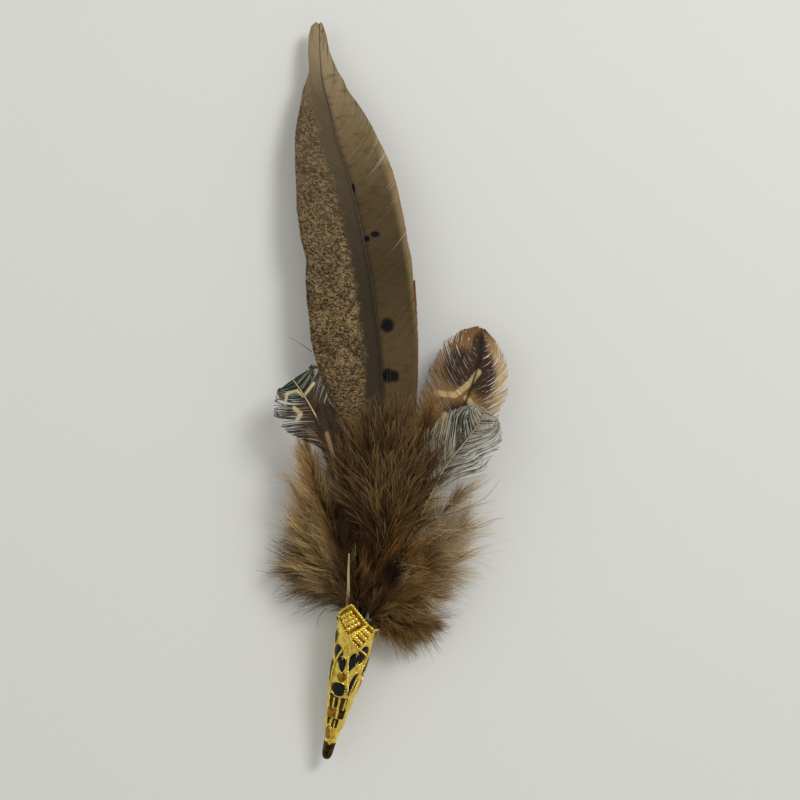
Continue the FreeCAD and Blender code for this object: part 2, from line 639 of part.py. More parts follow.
# ---------------------------------------------------------------------------------------------
# Down: soft masses that the quills and vanes pass through, laid so that they meet one another
# ---------------------------------------------------------------------------------------------
# stations: (across, ahead, height, half width, half depth) in layout millimetres
DOWN = {
    "down_back": [(11.5, 55.0, 5.4, 3.5, 2.5), (16.0, 70.0, 5.2, 13.0, 5.6), (20.0, 88.0, 5.2, 17.0, 5.6),
                  (21.0, 104.0, 6.0, 13.0, 5.0), (22.0, 112.0, 6.5, 6.0, 3.0)],
    "down_left": [(7.6, 54.0, 13.0, 3.0, 3.0), (3.0, 66.0, 12.5, 8.5, 7.0), (-3.0, 80.0, 11.5, 12.5, 7.5),
                  (-8.0, 93.0, 11.0, 9.5, 7.0), (-9.5, 104.0, 11.0, 5.0, 5.0)],
    "down_lower_left": [(5.4, 54.0, 8.0, 2.5, 2.5), (0.0, 60.0, 8.0, 6.5, 6.0), (-8.0, 63.5, 7.5, 8.5, 6.5),
                        (-16.0, 64.0, 7.0, 5.5, 5.0), (-20.4, 63.5, 7.0, 2.6, 2.2)],
    "down_right": [(16.0, 54.0, 12.0, 3.0, 3.0), (25.0, 64.0, 11.5, 11.0, 7.5), (33.0, 74.0, 11.0, 16.0, 8.5),
                   (41.0, 83.0, 10.5, 14.0, 7.5), (48.0, 89.0, 10.0, 8.0, 5.0)],
    "down_lower_right": [(16.6, 51.2, 9.0, 2.2, 2.2), (22.0, 48.0, 8.8, 6.5, 6.0), (30.0, 45.5, 8.2, 8.5, 6.5),
                         (37.0, 44.0, 8.0, 4.5, 4.0)],
    "down_front": [(12.5, 56.0, 19.5, 3.0, 1.6), (14.0, 66.0, 21.0, 8.0, 2.4), (17.0, 80.0, 22.0, 12.0, 2.8),
                   (20.5, 93.0, 22.2, 10.5, 2.4), (22.0, 102.0, 22.0, 6.0, 1.5)],
}

table_room = add("Part::Box", "table_room", Length="400", Width="400", Height="100")
table_room.Placement = FreeCAD.Placement(Vector(-200, -200, 0), FreeCAD.Rotation())
laid = []
for name, stations in DOWN.items():
    points = [layout(*station[:3]) for station in stations]
    rings = []
    for station, place, heading in zip(stations, points, headings(points)):
        level = Vector(heading.x, heading.y, 0).normalize()
        rings.append(section("Part::Ellipse", name + "_ring", place, level,
                             MajorRadius=station[3], MinorRadius=station[4]))
    mass = common(name + "_mass", loft(name + "_loft", rings), table_room)
    doc.recompute()
    for neighbour in laid:
        if mass.Shape.common(neighbour.Shape).Volume > 0:
            mass = cut(name + "_cut", mass, neighbour)
            doc.recompute()
    laid.append(keep(mass, name))

# ---------------------------------------------------------------------------------------------
# Checks and export
# ---------------------------------------------------------------------------------------------
doc.recompute()
for feature in doc.Objects:
    if "Invalid" in feature.State or "Error" in feature.State:
        raise RuntimeError("failed: " + feature.Name)
for feature in NODES:
    if feature.Shape.isNull() or not feature.Shape.isValid() or not feature.Shape.Solids:
        raise RuntimeError("not a valid solid: " + feature.Label)

os.makedirs("parts", exist_ok=True)
whole = FreeCAD.BoundBox()
for feature in NODES:
    feature.Shape.exportStep("parts/%s.step" % feature.Label)
    whole.add(feature.Shape.BoundBox)
    reach = feature.Shape.BoundBox
    print("%-20s %9.2f mm3 %2d solids  x %6.1f %6.1f  y %7.1f %7.1f  z %5.1f %5.1f" % (
        feature.Label, feature.Shape.Volume, len(feature.Shape.Solids), reach.XMin, reach.XMax,
        reach.YMin, reach.YMax, reach.ZMin, reach.ZMax))
print("whole: x %.2f %.2f  y %.2f %.2f  z %.2f %.2f" % (whole.XMin, whole.XMax, whole.YMin, whole.YMax,
                                                      whole.ZMin, whole.ZMax))
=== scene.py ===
import math

import bmesh
import bpy
import numpy as np
from mathutils import Matrix, Vector


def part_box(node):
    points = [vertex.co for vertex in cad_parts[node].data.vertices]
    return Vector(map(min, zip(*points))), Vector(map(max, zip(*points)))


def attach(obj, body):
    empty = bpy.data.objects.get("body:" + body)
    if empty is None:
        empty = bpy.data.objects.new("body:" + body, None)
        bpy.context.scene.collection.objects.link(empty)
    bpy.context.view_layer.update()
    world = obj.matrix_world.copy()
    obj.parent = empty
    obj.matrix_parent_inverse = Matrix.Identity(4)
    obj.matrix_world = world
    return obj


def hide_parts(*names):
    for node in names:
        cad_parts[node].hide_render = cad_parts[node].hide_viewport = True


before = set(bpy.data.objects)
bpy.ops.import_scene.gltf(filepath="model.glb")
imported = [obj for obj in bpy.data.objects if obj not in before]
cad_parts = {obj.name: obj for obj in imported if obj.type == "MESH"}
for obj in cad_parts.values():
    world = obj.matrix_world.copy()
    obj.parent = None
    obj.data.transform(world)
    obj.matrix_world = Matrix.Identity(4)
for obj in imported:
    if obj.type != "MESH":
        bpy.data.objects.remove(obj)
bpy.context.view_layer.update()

MM = 0.001
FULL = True
UP = np.array([0.0, 0.0, 1.0])
QUICK_THINNING = 6
DOWN_FLOOR, DOWN_CEILING = 0.5, 26.5    # the heights that soft barbs are kept between

# ---------------------------------------------------------------------------------------------
# The frame of the spray: layout millimetres run right of and ahead of the holder's point
# ---------------------------------------------------------------------------------------------
POINT_ACROSS, POINT_ALONG = -19.6, -122.9
LEAN, RISE = math.radians(13.4), math.radians(7.0)
HOLDER_LENGTH = 47.5
BAR_TOP = 1000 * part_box("brooch_bar")[1].z
BELLY_RADIUS, BELLY_AT = 5.3, 0.58 * HOLDER_LENGTH
POINT_HEIGHT = BAR_TOP + BELLY_RADIUS * math.cos(RISE) - BELLY_AT * math.sin(RISE)
HOLDER_POINT = np.array([POINT_ACROSS, POINT_ALONG, POINT_HEIGHT])
ALONG = np.array([math.sin(LEAN) * math.cos(RISE), math.cos(LEAN) * math.cos(RISE), math.sin(RISE)])
ACROSS = np.array([math.cos(LEAN), -math.sin(LEAN), 0.0])
FRONT = -np.cross(ALONG, ACROSS)


def layout(points):
    """Row-frame millimetres of (across, ahead, height) layout points."""
    return np.asarray(points, float) + np.array([POINT_ACROSS, POINT_ALONG, 0.0])


def spline(knots, values, where):
    """A natural cubic curve through values at the knots, read at where."""
    knots, values, where = (np.asarray(item, float) for item in (knots, values, where))
    if values.ndim == 1:
        return spline(knots, values[:, None], where)[..., 0]
    count = len(knots)
    step = np.diff(knots)
    system = np.eye(count)
    load = np.zeros_like(values)
    for row in range(1, count - 1):
        before, after = step[row - 1], step[row]
        system[row, row - 1:row + 2] = before, 2 * (before + after), after
        load[row] = 6 * ((values[row + 1] - values[row]) / after - (values[row] - values[row - 1]) / before)
    bend = np.linalg.solve(system, load)
    span = np.clip(np.searchsorted(knots, where) - 1, 0, count - 2)
    width = step[span][..., None]
    right = (where - knots[span])[..., None] / width
    left = 1 - right
    return (left * values[span] + right * values[span + 1]
            + width ** 2 / 6 * ((left ** 3 - left) * bend[span] + (right ** 3 - right) * bend[span + 1]))


def smooth_route(points, count):
    """Evenly read points of a smooth curve through the given ones."""
    points = np.asarray(points, float)
    knots = np.concatenate([[0.0], np.cumsum(np.linalg.norm(np.diff(points, axis=0), axis=1))])
    return spline(knots, points, np.linspace(0, knots[-1], count))


def unit(vectors):
    return vectors / np.maximum(np.linalg.norm(vectors, axis=-1, keepdims=True), 1e-9)


# ---------------------------------------------------------------------------------------------
# Materials
# ---------------------------------------------------------------------------------------------
def linear(colour):
    """Scene-linear values of a 0-255 sRGB colour."""
    shares = np.asarray(colour, float) / 255
    return tuple(np.where(shares <= 0.04045, shares / 12.92, ((shares + 0.055) / 1.055) ** 2.4)) + (1.0,)


class Finish:
    """One node material, built up from small helpers."""

    def __init__(self, name, roughness, metallic=0.0, sheen=0.0, coat=0.0, specular=0.5):
        self.material = bpy.data.materials.new(name)
        self.material.use_nodes = True
        self.tree = self.material.node_tree
        self.shader = self.tree.nodes["Principled BSDF"]
        self.shader.inputs["Roughness"].default_value = roughness
        self.shader.inputs["Metallic"].default_value = metallic
        self.shader.inputs["Sheen Weight"].default_value = sheen
        self.shader.inputs["Coat Weight"].default_value = coat
        self.shader.inputs["Specular IOR Level"].default_value = specular

    def add(self, kind, sockets=(), **settings):
        made = self.tree.nodes.new(kind)
        for name, value in settings.items():
            setattr(made, name, value)
        for key, value in dict(sockets).items():
            self.feed(made.inputs[key], value)
        return made

    def feed(self, socket, value):
        if isinstance(value, bpy.types.NodeSocket):
            self.tree.links.new(value, socket)
        else:
            socket.default_value = value

    def math(self, operation, first, second=0.0, third=0.0, clamp=False):
        made = self.add("ShaderNodeMath", {0: first, 1: second, 2: third}, operation=operation)
        made.use_clamp = clamp
        return made.outputs[0]

    def attribute(self, name):
        """The three parts of a piece's own attribute."""
        vector = self.add("ShaderNodeAttribute", attribute_name=name).outputs["Vector"]
        return vector, self.add("ShaderNodeSeparateXYZ", {0: vector}).outputs

    def place(self):
        """Object coordinates, in millimetres."""
        raw = self.add("ShaderNodeTexCoord").outputs["Object"]
        scaled = self.add("ShaderNodeVectorMath", {0: raw, "Scale": 1000.0}, operation="SCALE").outputs[0]
        return scaled, self.add("ShaderNodeSeparateXYZ", {0: scaled}).outputs

    def stretch(self, vector, scale):
        return self.add("ShaderNodeMapping", {"Vector": vector, "Scale": scale}).outputs[0]

    def noise(self, vector, scale, detail=3.0, roughness=0.5, distortion=0.0):
        made = self.add("ShaderNodeTexNoise", {"Vector": vector, "Scale": scale, "Detail": detail,
                                                  "Roughness": roughness, "Distortion": distortion})
        return made.outputs["Fac"]

    def smooth(self, value, low, high):
        """0 below low, 1 above high, and smooth between them."""
        made = self.add("ShaderNodeMapRange", {"Value": value, "From Min": low, "From Max": high},
                        interpolation_type="SMOOTHSTEP")
        return made.outputs["Result"]

    def ramp(self, value, stops):
        made = self.add("ShaderNodeValToRGB", {"Fac": value})
        line = made.color_ramp
        while len(line.elements) < len(stops):
            line.elements.new(0.5)
        for element, (place, colour) in zip(line.elements, stops):
            element.position = place
            element.color = linear(colour)
        return made.outputs["Color"]

    def mix(self, share, first, second):
        made = self.add("ShaderNodeMix", data_type="RGBA")
        for key, value in ((0, share), (6, first), (7, second)):
            if isinstance(value, tuple) and len(value) == 3:
                value = linear(value)
            self.feed(made.inputs[key], value)
        return made.outputs[2]

    def darken(self, colour, value):
        made = self.add("ShaderNodeVectorMath", {0: colour, "Scale": value}, operation="SCALE")
        return made.outputs[0]

    def bump(self, height, distance, strength=1.0):
        made = self.add("ShaderNodeBump", {"Height": height, "Distance": distance, "Strength": strength})
        self.feed(self.shader.inputs["Normal"], made.outputs[0])

    def colour(self, value):
        self.feed(self.shader.inputs["Base Color"], value)
        return self.material


def clouded_finish(name, roughness, first, second, scale, detail=2.0, **habit):
    """Two tones of one thing, clouded into each other."""
    finish = Finish(name, roughness, **habit)
    where, _ = finish.place()
    return finish.colour(finish.mix(finish.noise(where, scale, detail), first, second))


# ---------------------------------------------------------------------------------------------
# Strands: one thin template, arrayed, and each copy laid along its own path
# ---------------------------------------------------------------------------------------------
def as_piece(name, mesh, material, body="spray"):
    piece = bpy.data.objects.new(name, mesh)
    bpy.context.scene.collection.objects.link(piece)
    mesh.materials.clear()
    mesh.materials.append(material)
    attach(piece, body)
    return piece


def strand_template(sides, rings):
    """A straight prism of unit radius and unit length, cut into rings."""
    shape = bmesh.new()
    bmesh.ops.create_cone(shape, cap_ends=True, segments=sides, radius1=1, radius2=1, depth=1)
    bmesh.ops.translate(shape, vec=(0, 0, 0.5), verts=shape.verts)
    long_edges = [edge for edge in shape.edges if abs(edge.verts[0].co.z - edge.verts[1].co.z) > 0.5]
    bmesh.ops.subdivide_edges(shape, edges=long_edges, cuts=rings - 1)
    mesh = bpy.data.meshes.new("strand_template")
    shape.to_mesh(mesh)
    shape.free()
    return mesh


def grow(name, paths, up, half_widths, half_depths, marks, material, sides=3):
    """Strands along paths (strand, ring, xyz) in millimetres, flat across up, with a mark at every ring."""
    count, rings = paths.shape[0], paths.shape[1] - 1
    template = bpy.data.objects.new("template", strand_template(sides, rings))
    bpy.context.scene.collection.objects.link(template)
    copies = template.modifiers.new("copies", "ARRAY")
    copies.count = count
    copies.use_relative_offset = False
    bpy.context.view_layer.update()
    ready = template.evaluated_get(bpy.context.evaluated_depsgraph_get())
    mesh = bpy.data.meshes.new_from_object(ready)
    mesh.name = name
    unit_points = np.zeros(len(template.data.vertices) * 3)
    template.data.vertices.foreach_get("co", unit_points)
    unit_points = unit_points.reshape(-1, 3)
    bpy.data.objects.remove(template)

    tangent = unit(np.gradient(paths, axis=1))
    side = unit(np.cross(tangent, np.broadcast_to(up, paths.shape)))
    normal = np.cross(side, tangent)
    ring = np.rint(unit_points[:, 2] * rings).astype(int)
    wide = np.broadcast_to(half_widths, paths.shape[:2])[:, ring, None] * unit_points[None, :, 0, None]
    deep = np.broadcast_to(half_depths, paths.shape[:2])[:, ring, None] * unit_points[None, :, 1, None]
    places = (paths[:, ring] + side[:, ring] * wide + normal[:, ring] * deep) * MM
    mesh.vertices.foreach_set("co", places.astype(np.float32).ravel())
    mark = mesh.attributes.new("barb", "FLOAT_VECTOR", "POINT")
    mark.data.foreach_set("vector", marks[:, ring].astype(np.float32).ravel())
    mesh.polygons.foreach_set("use_smooth", np.ones(len(mesh.polygons), bool))
    mesh.update()
    return as_piece(name, mesh, material)


# ---------------------------------------------------------------------------------------------
# Feather vanes: barbs leave the shaft, curve towards the tip and end on the feather's outline
# ---------------------------------------------------------------------------------------------
class Feather:
    """A feather's own frame: length along its axis, across to the right of it, in millimetres."""

    def __init__(self, origin, turn, stations, camber=0.06, twist=0.0):
        self.origin = np.array(origin, float)
        self.ahead = np.array([math.sin(math.radians(turn)), math.cos(math.radians(turn))])
        self.right = np.array([self.ahead[1], -self.ahead[0]])
        table = np.array(stations, float)
        self.length, self.shaft, self.left_width, self.right_width, self.height = table.T
        self.camber = camber
        self.twist = twist

    def shaft_points(self, length):
        across = spline(self.length, self.shaft, length)
        height = spline(self.length, self.height, length)
        return self.world(length, across, height)

    def world(self, length, across, height):
        flat = self.origin + length[..., None] * self.ahead + across[..., None] * self.right
        return layout(np.concatenate([flat, height[..., None]], axis=-1))

    def sheet(self, length, share, side):
        """Points of one web: share 0 is the shaft and 1 the outline; side is -1 left, 1 right."""
        width = np.interp(length, self.length, self.left_width if side < 0 else self.right_width)
        across = spline(self.length, self.shaft, length) + side * width * share
        height = (spline(self.length, self.height, length) - self.camber * width * share ** 2
                  + self.twist * side * width * share)
        return self.world(length, across, height)


def web(name, feather, side, material, start, stop, spacing, reach, seed, curve=1.25, rings=7,
        cover=0.7, ragged=0.03, split=0.6, splits=14, wander=0.0, lift=0.0, shingle=0.22, depth=0.045,
        tips=0.15):
    """One side of a vane, from the barbs rooted at start to those at stop."""
    random = np.random.default_rng(seed)
    count = int((stop - start) / spacing)
    roots = np.linspace(start, stop, count) + random.normal(0, 0.15 * spacing, count)
    last = feather.length[-1]
    eagerness = 1 + wander * random.normal(0, 1, count)
    going = np.minimum(reach, (last - roots) * 0.94)[:, None] * eagerness[:, None]
    share = np.linspace(0, 1, rings + 1)[None, :]
    bounds = np.sort(random.uniform(start, stop, splits))
    group = np.searchsorted(bounds, roots)
    edges = np.concatenate([[start], bounds, [stop]])
    within = (roots - edges[group]) / np.maximum(edges[group + 1] - edges[group], 1e-6) - 0.5
    gap = split * random.uniform(0.2, 1.0, splits + 1)[group]
    length = roots[:, None] + going * share ** curve - (2 * within * gap)[:, None] * share ** 3
    length = np.minimum(length, last)
    trim = 1 - ragged * random.exponential(1.0, count)[:, None]
    outward = share * np.clip(trim, 0.5, 1.0)
    paths = feather.sheet(length, outward, side)
    paths[..., 2] += lift + 0.10 * np.sin(roots * 0.9)[:, None] * share + wander * random.normal(
        0, 2.0, count)[:, None] * share ** 2
    heading = unit(np.gradient(paths, axis=1))
    across = unit(np.cross(heading, UP))
    up = UP + shingle * side * across
    taper = np.interp(share, [0, 0.6, 1.0], [1.0, 0.5 + 0.5 * tips, tips])
    width = cover * spacing * taper * np.ones((count, 1))
    signed = side * outward * np.interp(length, feather.length,
                                        feather.left_width if side < 0 else feather.right_width)
    chance = np.broadcast_to(random.uniform(0, 1, count)[:, None], length.shape)
    marks = np.stack([length, signed, chance], axis=-1)
    return grow(name, paths, up, width, depth * taper, marks, material, sides=4)


def quill(name, points, radii, material, flat=0.8, rings=60):
    """A tapered shaft through points, its radii given at even stations along it."""
    line = smooth_route(points, rings + 1)[None]
    share = np.linspace(0, 1, rings + 1)[None]
    radius = np.interp(share, np.linspace(0, 1, len(radii)), radii)
    marks = np.stack([share, share * 0, share * 0], axis=-1)
    return grow(name, line, UP, radius, radius * flat, marks, material, sides=10)


def holder_axis(height, across=0.0, front=0.0):
    return HOLDER_POINT + height * ALONG + across * ACROSS + front * FRONT


def read_between(table, where):
    """Straight-line readings of every column of a table whose first column is the position."""
    table = np.asarray(table, float)
    return np.stack([np.interp(where, table[:, 0], column) for column in table[:, 1:].T], axis=-1)


# ---------------------------------------------------------------------------------------------
# Down: soft barbs standing off a hidden rachis in wavy tufts
# ---------------------------------------------------------------------------------------------
def fluff(random, route, count, reach, angle=(30, 62), flat=0.5, curl=0.45, wave=0.45, tuft=7, rings=7):
    """Paths and marks of the barbs of one plume, whose rachis runs through the layout points of route."""
    grid = np.linspace(0, 1, 41)
    line = smooth_route(layout(route), 41)
    heading = unit(np.gradient(line, axis=0))
    tufts = max(count // tuft, 1)
    member = random.integers(0, tufts, count)
    share = np.clip(random.beta(1.2, 0.95, tufts)[member] + random.normal(0, 0.018, count), 0.02, 0.99)
    root = np.stack([np.interp(share, grid, line[:, axis]) for axis in range(3)], axis=-1)
    ahead = unit(np.stack([np.interp(share, grid, heading[:, axis]) for axis in range(3)], axis=-1))
    side = unit(np.cross(ahead, UP))
    top = np.cross(side, ahead)
    half_turn = np.where(random.random(tufts) < 0.5, 0.0, math.pi)
    roll = (random.normal(0, flat, tufts) + half_turn)[member] + random.normal(0, 0.16, count)
    out = np.cos(roll)[:, None] * side + np.sin(roll)[:, None] * top
    opening = np.interp(share, [0, 0.75, 1.0], [1.0, 0.85, 0.25])
    lean = np.radians(random.uniform(*angle, tufts)[member] + random.normal(0, 4.5, count)) * opening
    start = np.cos(lean)[:, None] * ahead + np.sin(lean)[:, None] * out
    size = (reach * np.interp(share, [0, 0.3, 0.8, 1.0], [0.7, 1.0, 0.95, 0.62])
            * random.uniform(0.7, 1.15, tufts)[member] * random.uniform(0.72, 1.08, count))
    bend = curl * (0.6 * random.uniform(-0.3, 1.0, tufts)[member, None] * ahead
                   + random.normal(0, 0.42, (tufts, 3))[member] + random.normal(0, 0.17, (count, 3)))
    along = np.linspace(0, 1, rings + 1)[None, :, None]
    paths = root[:, None] + size[:, None, None] * (along * start[:, None] + along ** 2 * bend[:, None])
    swing = wave * random.uniform(0.4, 1.0, count)[:, None, None] * along ** 0.8
    phase = random.uniform(0, 2 * math.pi, (tufts, 2))[member] + random.normal(0, 0.6, (count, 2))
    rate = random.uniform(0.9, 1.9, tufts)[member, None, None] * 2 * math.pi
    paths = paths + swing * np.sin(rate * along + phase[:, :1, None]) * side[:, None]
    paths = paths + 0.6 * swing * np.sin(rate * along * 1.2 + phase[:, 1:, None]) * top[:, None]
    paths[..., 2] = np.clip(paths[..., 2], DOWN_FLOOR, DOWN_CEILING)
    distance = np.broadcast_to(along[..., 0], paths.shape[:2])
    tone = np.broadcast_to(random.random(tufts)[member, None], paths.shape[:2])
    chance = np.broadcast_to(random.random(count)[:, None], paths.shape[:2])
    return paths, np.stack([distance, chance, tone], axis=-1)


def plumes(name, routes, count, reach, material, seed, width=0.07, **habit):
    """One piece made of several plumes sharing a number of barbs."""
    random = np.random.default_rng(seed)
    each = int(count / len(routes) / (1 if FULL else QUICK_THINNING))
    made = [fluff(random, route, each, reach, **habit) for route in routes]
    paths = np.concatenate([item[0] for item in made])
    marks = np.concatenate([item[1] for item in made])
    taper = np.interp(marks[..., 0], [0, 0.55, 1.0], [1.0, 0.85, 0.3])
    breadth = width * taper * (0.75 + 0.5 * marks[..., 1])
    return grow(name, paths, UP, breadth, 0.6 * breadth, marks, material)


# ---------------------------------------------------------------------------------------------
# Feather and down finishes
# ---------------------------------------------------------------------------------------------
def flat_spot(finish, where, centre, radii, soft=0.3):
    """A soft-edged oval patch on the spray, centre and radii in millimetres."""
    moved = finish.add("ShaderNodeVectorMath", {0: where, 1: (centre[0], centre[1], 0.0)},
                       operation="SUBTRACT")
    shrunk = finish.stretch(moved.outputs[0], (1 / radii[0], 1 / radii[1], 0.0))
    reach = finish.add("ShaderNodeVectorMath", {0: shrunk}, operation="LENGTH").outputs["Value"]
    ragged = finish.math("MULTIPLY_ADD", finish.noise(where, 1.6, 2.0), 0.5, -0.25)
    return finish.smooth(finish.math("ADD", reach, ragged), 1 + soft, 1 - soft)


def stroke(finish, where, points, width, soft=0.35):
    """A soft-edged line through points on the spray, in millimetres."""
    flat = finish.stretch(where, (1.0, 1.0, 0.0))
    nearest = None
    for start, stop in zip(points, points[1:]):
        run = (stop[0] - start[0], stop[1] - start[1], 0.0)
        square = run[0] ** 2 + run[1] ** 2
        from_start = finish.add("ShaderNodeVectorMath", {0: flat, 1: (start[0], start[1], 0.0)},
                                operation="SUBTRACT").outputs[0]
        dot = finish.add("ShaderNodeVectorMath", {0: from_start, 1: run},
                         operation="DOT_PRODUCT").outputs["Value"]
        share = finish.math("DIVIDE", dot, square, clamp=True)
        foot = finish.add("ShaderNodeVectorMath", {0: run, "Scale": share}, operation="SCALE").outputs[0]
        away = finish.add("ShaderNodeVectorMath", {0: from_start, 1: foot},
                          operation="DISTANCE").outputs["Value"]
        nearest = away if nearest is None else finish.math("MINIMUM", nearest, away)
    ragged = finish.math("MULTIPLY_ADD", finish.noise(where, 1.2, 2.0), width * 0.7, -width * 0.35)
    return finish.smooth(finish.math("ADD", nearest, ragged), width * (1 + soft), width * (1 - soft))


def barb_shade(finish, colour, chance, spread=0.35):
    """Every barb a little lighter or darker than its neighbours."""
    return finish.darken(colour, finish.math("MULTIPLY_ADD", chance, spread, 1 - spread / 2))


def tail_left_finish():
    finish = Finish("tail_speckled_web", 0.62, specular=0.2)
    vector, (length, signed, chance) = finish.attribute("barb")
    coarse = finish.noise(finish.stretch(vector, (1.25, 0.75, 0.25)), 1.0, 3.0, 0.65, 1.0)
    fine = finish.noise(finish.stretch(vector, (2.6, 1.5, 0.5)), 1.0, 2.0, 0.6, 0.5)
    density = finish.math("MULTIPLY_ADD", finish.noise(finish.stretch(vector, (0.14, 0.2, 0.0)), 1.0),
                          0.16, -0.07)
    mottle = finish.math("MULTIPLY_ADD", fine, 0.45, finish.math("MULTIPLY", coarse, 0.55))
    speckle = finish.smooth(finish.math("SUBTRACT", mottle, density), 0.44, 0.58)
    ground = finish.mix(finish.smooth(length, 150.0, 215.0), (54, 39, 22), (78, 61, 40))
    light = finish.mix(finish.smooth(length, 140.0, 220.0), (148, 124, 84), (136, 116, 84))
    speckled = finish.mix(speckle, ground, light)
    away = finish.math("ABSOLUTE", signed)
    wobble = finish.math("MULTIPLY_ADD",
                         finish.noise(finish.stretch(vector, (0.35, 0.35, 0.2)), 1.0, 4.0), 6.5, 0.9)
    outer = finish.smooth(away, wobble, finish.math("ADD", wobble, 3.0))
    plain = finish.mix(finish.smooth(length, 150.0, 225.0), (56, 46, 29), (94, 80, 57))
    shade = finish.mix(outer, plain, speckled)
    shade = finish.mix(finish.smooth(length, 217.0, 240.0), shade, (148, 130, 98))
    return finish.colour(barb_shade(finish, shade, chance, 0.3))


# the centre and radii of each black spot on the right web
TAIL_SPOTS = (((-10.6, 66.6), (0.9, 2.4)), ((-5.7, 50.5), (0.95, 1.0)), ((-3.0, 51.9), (1.5, 1.0)),
              ((1.0, 21.8), (2.2, 2.4)), ((1.3, 5.2), (2.0, 2.4)), ((3.2, 5.0), (1.7, 1.9)))
SPOT_BLACK = (7, 6, 6)


def tail_right_finish():
    finish = Finish("tail_plain_web", 0.6, specular=0.2)
    vector, (length, signed, chance) = finish.attribute("barb")
    where, _ = finish.place()
    tone = finish.ramp(finish.smooth(length, 90.0, 246.0),
                       [(0.0, (84, 66, 38)), (0.22, (90, 72, 42)), (0.45, (74, 60, 34)),
                        (0.68, (90, 73, 45)), (0.85, (124, 104, 70)), (1.0, (150, 132, 100))])
    soft = finish.noise(finish.stretch(vector, (0.5, 0.2, 0.3)), 1.0, 3.0, 0.6)
    tone = finish.mix(finish.math("MULTIPLY", finish.smooth(soft, 0.5, 0.68), 0.5), tone, (64, 50, 28))
    pale = finish.smooth(signed, 11.5, 14.5)
    tone = finish.mix(finish.math("MULTIPLY", pale, 0.55), tone, (178, 150, 104))
    for centre, radii in TAIL_SPOTS:
        tone = finish.mix(flat_spot(finish, where, centre, radii), tone, SPOT_BLACK)
    return finish.colour(barb_shade(finish, tone, chance, 0.3))


def scapular_finish():
    finish = Finish("scapular_web", 0.6, specular=0.2)
    _, (_, _, chance) = finish.attribute("barb")
    where, (x, _, _) = finish.place()
    tone = finish.mix(finish.noise(where, 0.35, 3.0), (156, 118, 68), (122, 90, 52))
    tone = finish.mix(finish.smooth(x, 33.0, 39.5), tone, (212, 180, 134))
    for centre, radii in (((26.0, 7.5), (6.4, 6.8)), ((31.5, 13.5), (2.6, 6.5)), ((32.6, 5.5), (4.4, 8.0)),
                          ((24.5, -9.0), (5.4, 5.4))):
        tone = finish.mix(flat_spot(finish, where, centre, radii), tone, (66, 46, 30))
    for points, width in ((((17.2, -0.6), (23.5, -1.2), (28.5, 2.8), (31.2, 6.4)), 1.0),
                          (((27.2, -2.2), (31.9, -7.2)), 0.9), (((20.0, -8.0), (19.4, -14.5)), 1.2)):
        tone = finish.mix(stroke(finish, where, points, width), tone, (204, 176, 122))
    return finish.colour(barb_shade(finish, tone, chance, 0.3))


def green_finish():
    finish = Finish("green_tipped_web", 0.5, specular=0.2)
    _, (_, _, chance) = finish.attribute("barb")
    where, _ = finish.place()
    tone = finish.mix(finish.noise(where, 0.5, 2.0), (46, 34, 22), (92, 72, 50))
    sheen_green = finish.mix(finish.smooth(chance, 0.6, 0.9), (34, 44, 34), (128, 138, 116))
    tone = finish.mix(flat_spot(finish, where, (-34.5, 5.5), (10.4, 9.6), 0.08), tone, sheen_green)
    tone = finish.mix(flat_spot(finish, where, (-38.0, -6.0), (6.0, 7.0), 0.1), tone, (92, 88, 72))
    for points, width in ((((-32.6, -4.2), (-31.8, -0.6), (-28.6, 0.2), (-26.4, -1.6), (-23.2, 2.6)), 0.5),
                          (((-29.5, -5.6), (-27.4, -7.4), (-28.6, -9.6)), 0.7)):
        tone = finish.mix(stroke(finish, where, points, width), tone, (206, 190, 140))
    return finish.colour(barb_shade(finish, tone, chance, 0.35))


def dark_finish():
    finish = Finish("dark_web", 0.6, specular=0.2)
    _, (_, _, chance) = finish.attribute("barb")
    where, _ = finish.place()
    tone = finish.mix(finish.noise(where, 0.5, 2.0), (44, 31, 20), (80, 60, 40))
    route = ((-18.8, -13.9), (-17.1, -19.6), (-15.8, -27.0), (-13.6, -36.0))
    tone = finish.mix(stroke(finish, where, route, 0.65), tone, (150, 120, 80))
    return finish.colour(barb_shade(finish, tone, chance, 0.3))


def hackle_finish():
    finish = Finish("golden_web", 0.45, specular=0.3)
    _, (along, chance, _) = finish.attribute("barb")
    # dark is the hackles' own dark brown; light is a painted golden highlight that a random share of barbs
    # take
    dark = finish.ramp(along, [(0.0, (24, 14, 6)), (0.5, (54, 37, 18)), (1.0, (104, 78, 44))])
    light = finish.ramp(along, [(0.0, (58, 36, 15)), (0.5, (132, 94, 48)), (1.0, (164, 132, 82))])
    return finish.colour(finish.mix(finish.smooth(chance, 0.5, 0.95), dark, light))


def plain_web_finish(name, dark, light, roughness=0.6, spread=0.45):
    """Barbs of one colour family, mixed along and between barbs."""
    finish = Finish(name, roughness, specular=0.2)
    _, (_, _, chance) = finish.attribute("barb")
    where, _ = finish.place()
    blend = finish.math("ADD", finish.noise(where, 0.45, 3.0),
                        finish.math("MULTIPLY_ADD", chance, spread, -spread / 2))
    return finish.colour(finish.mix(finish.smooth(blend, 0.3, 0.7), dark, light))


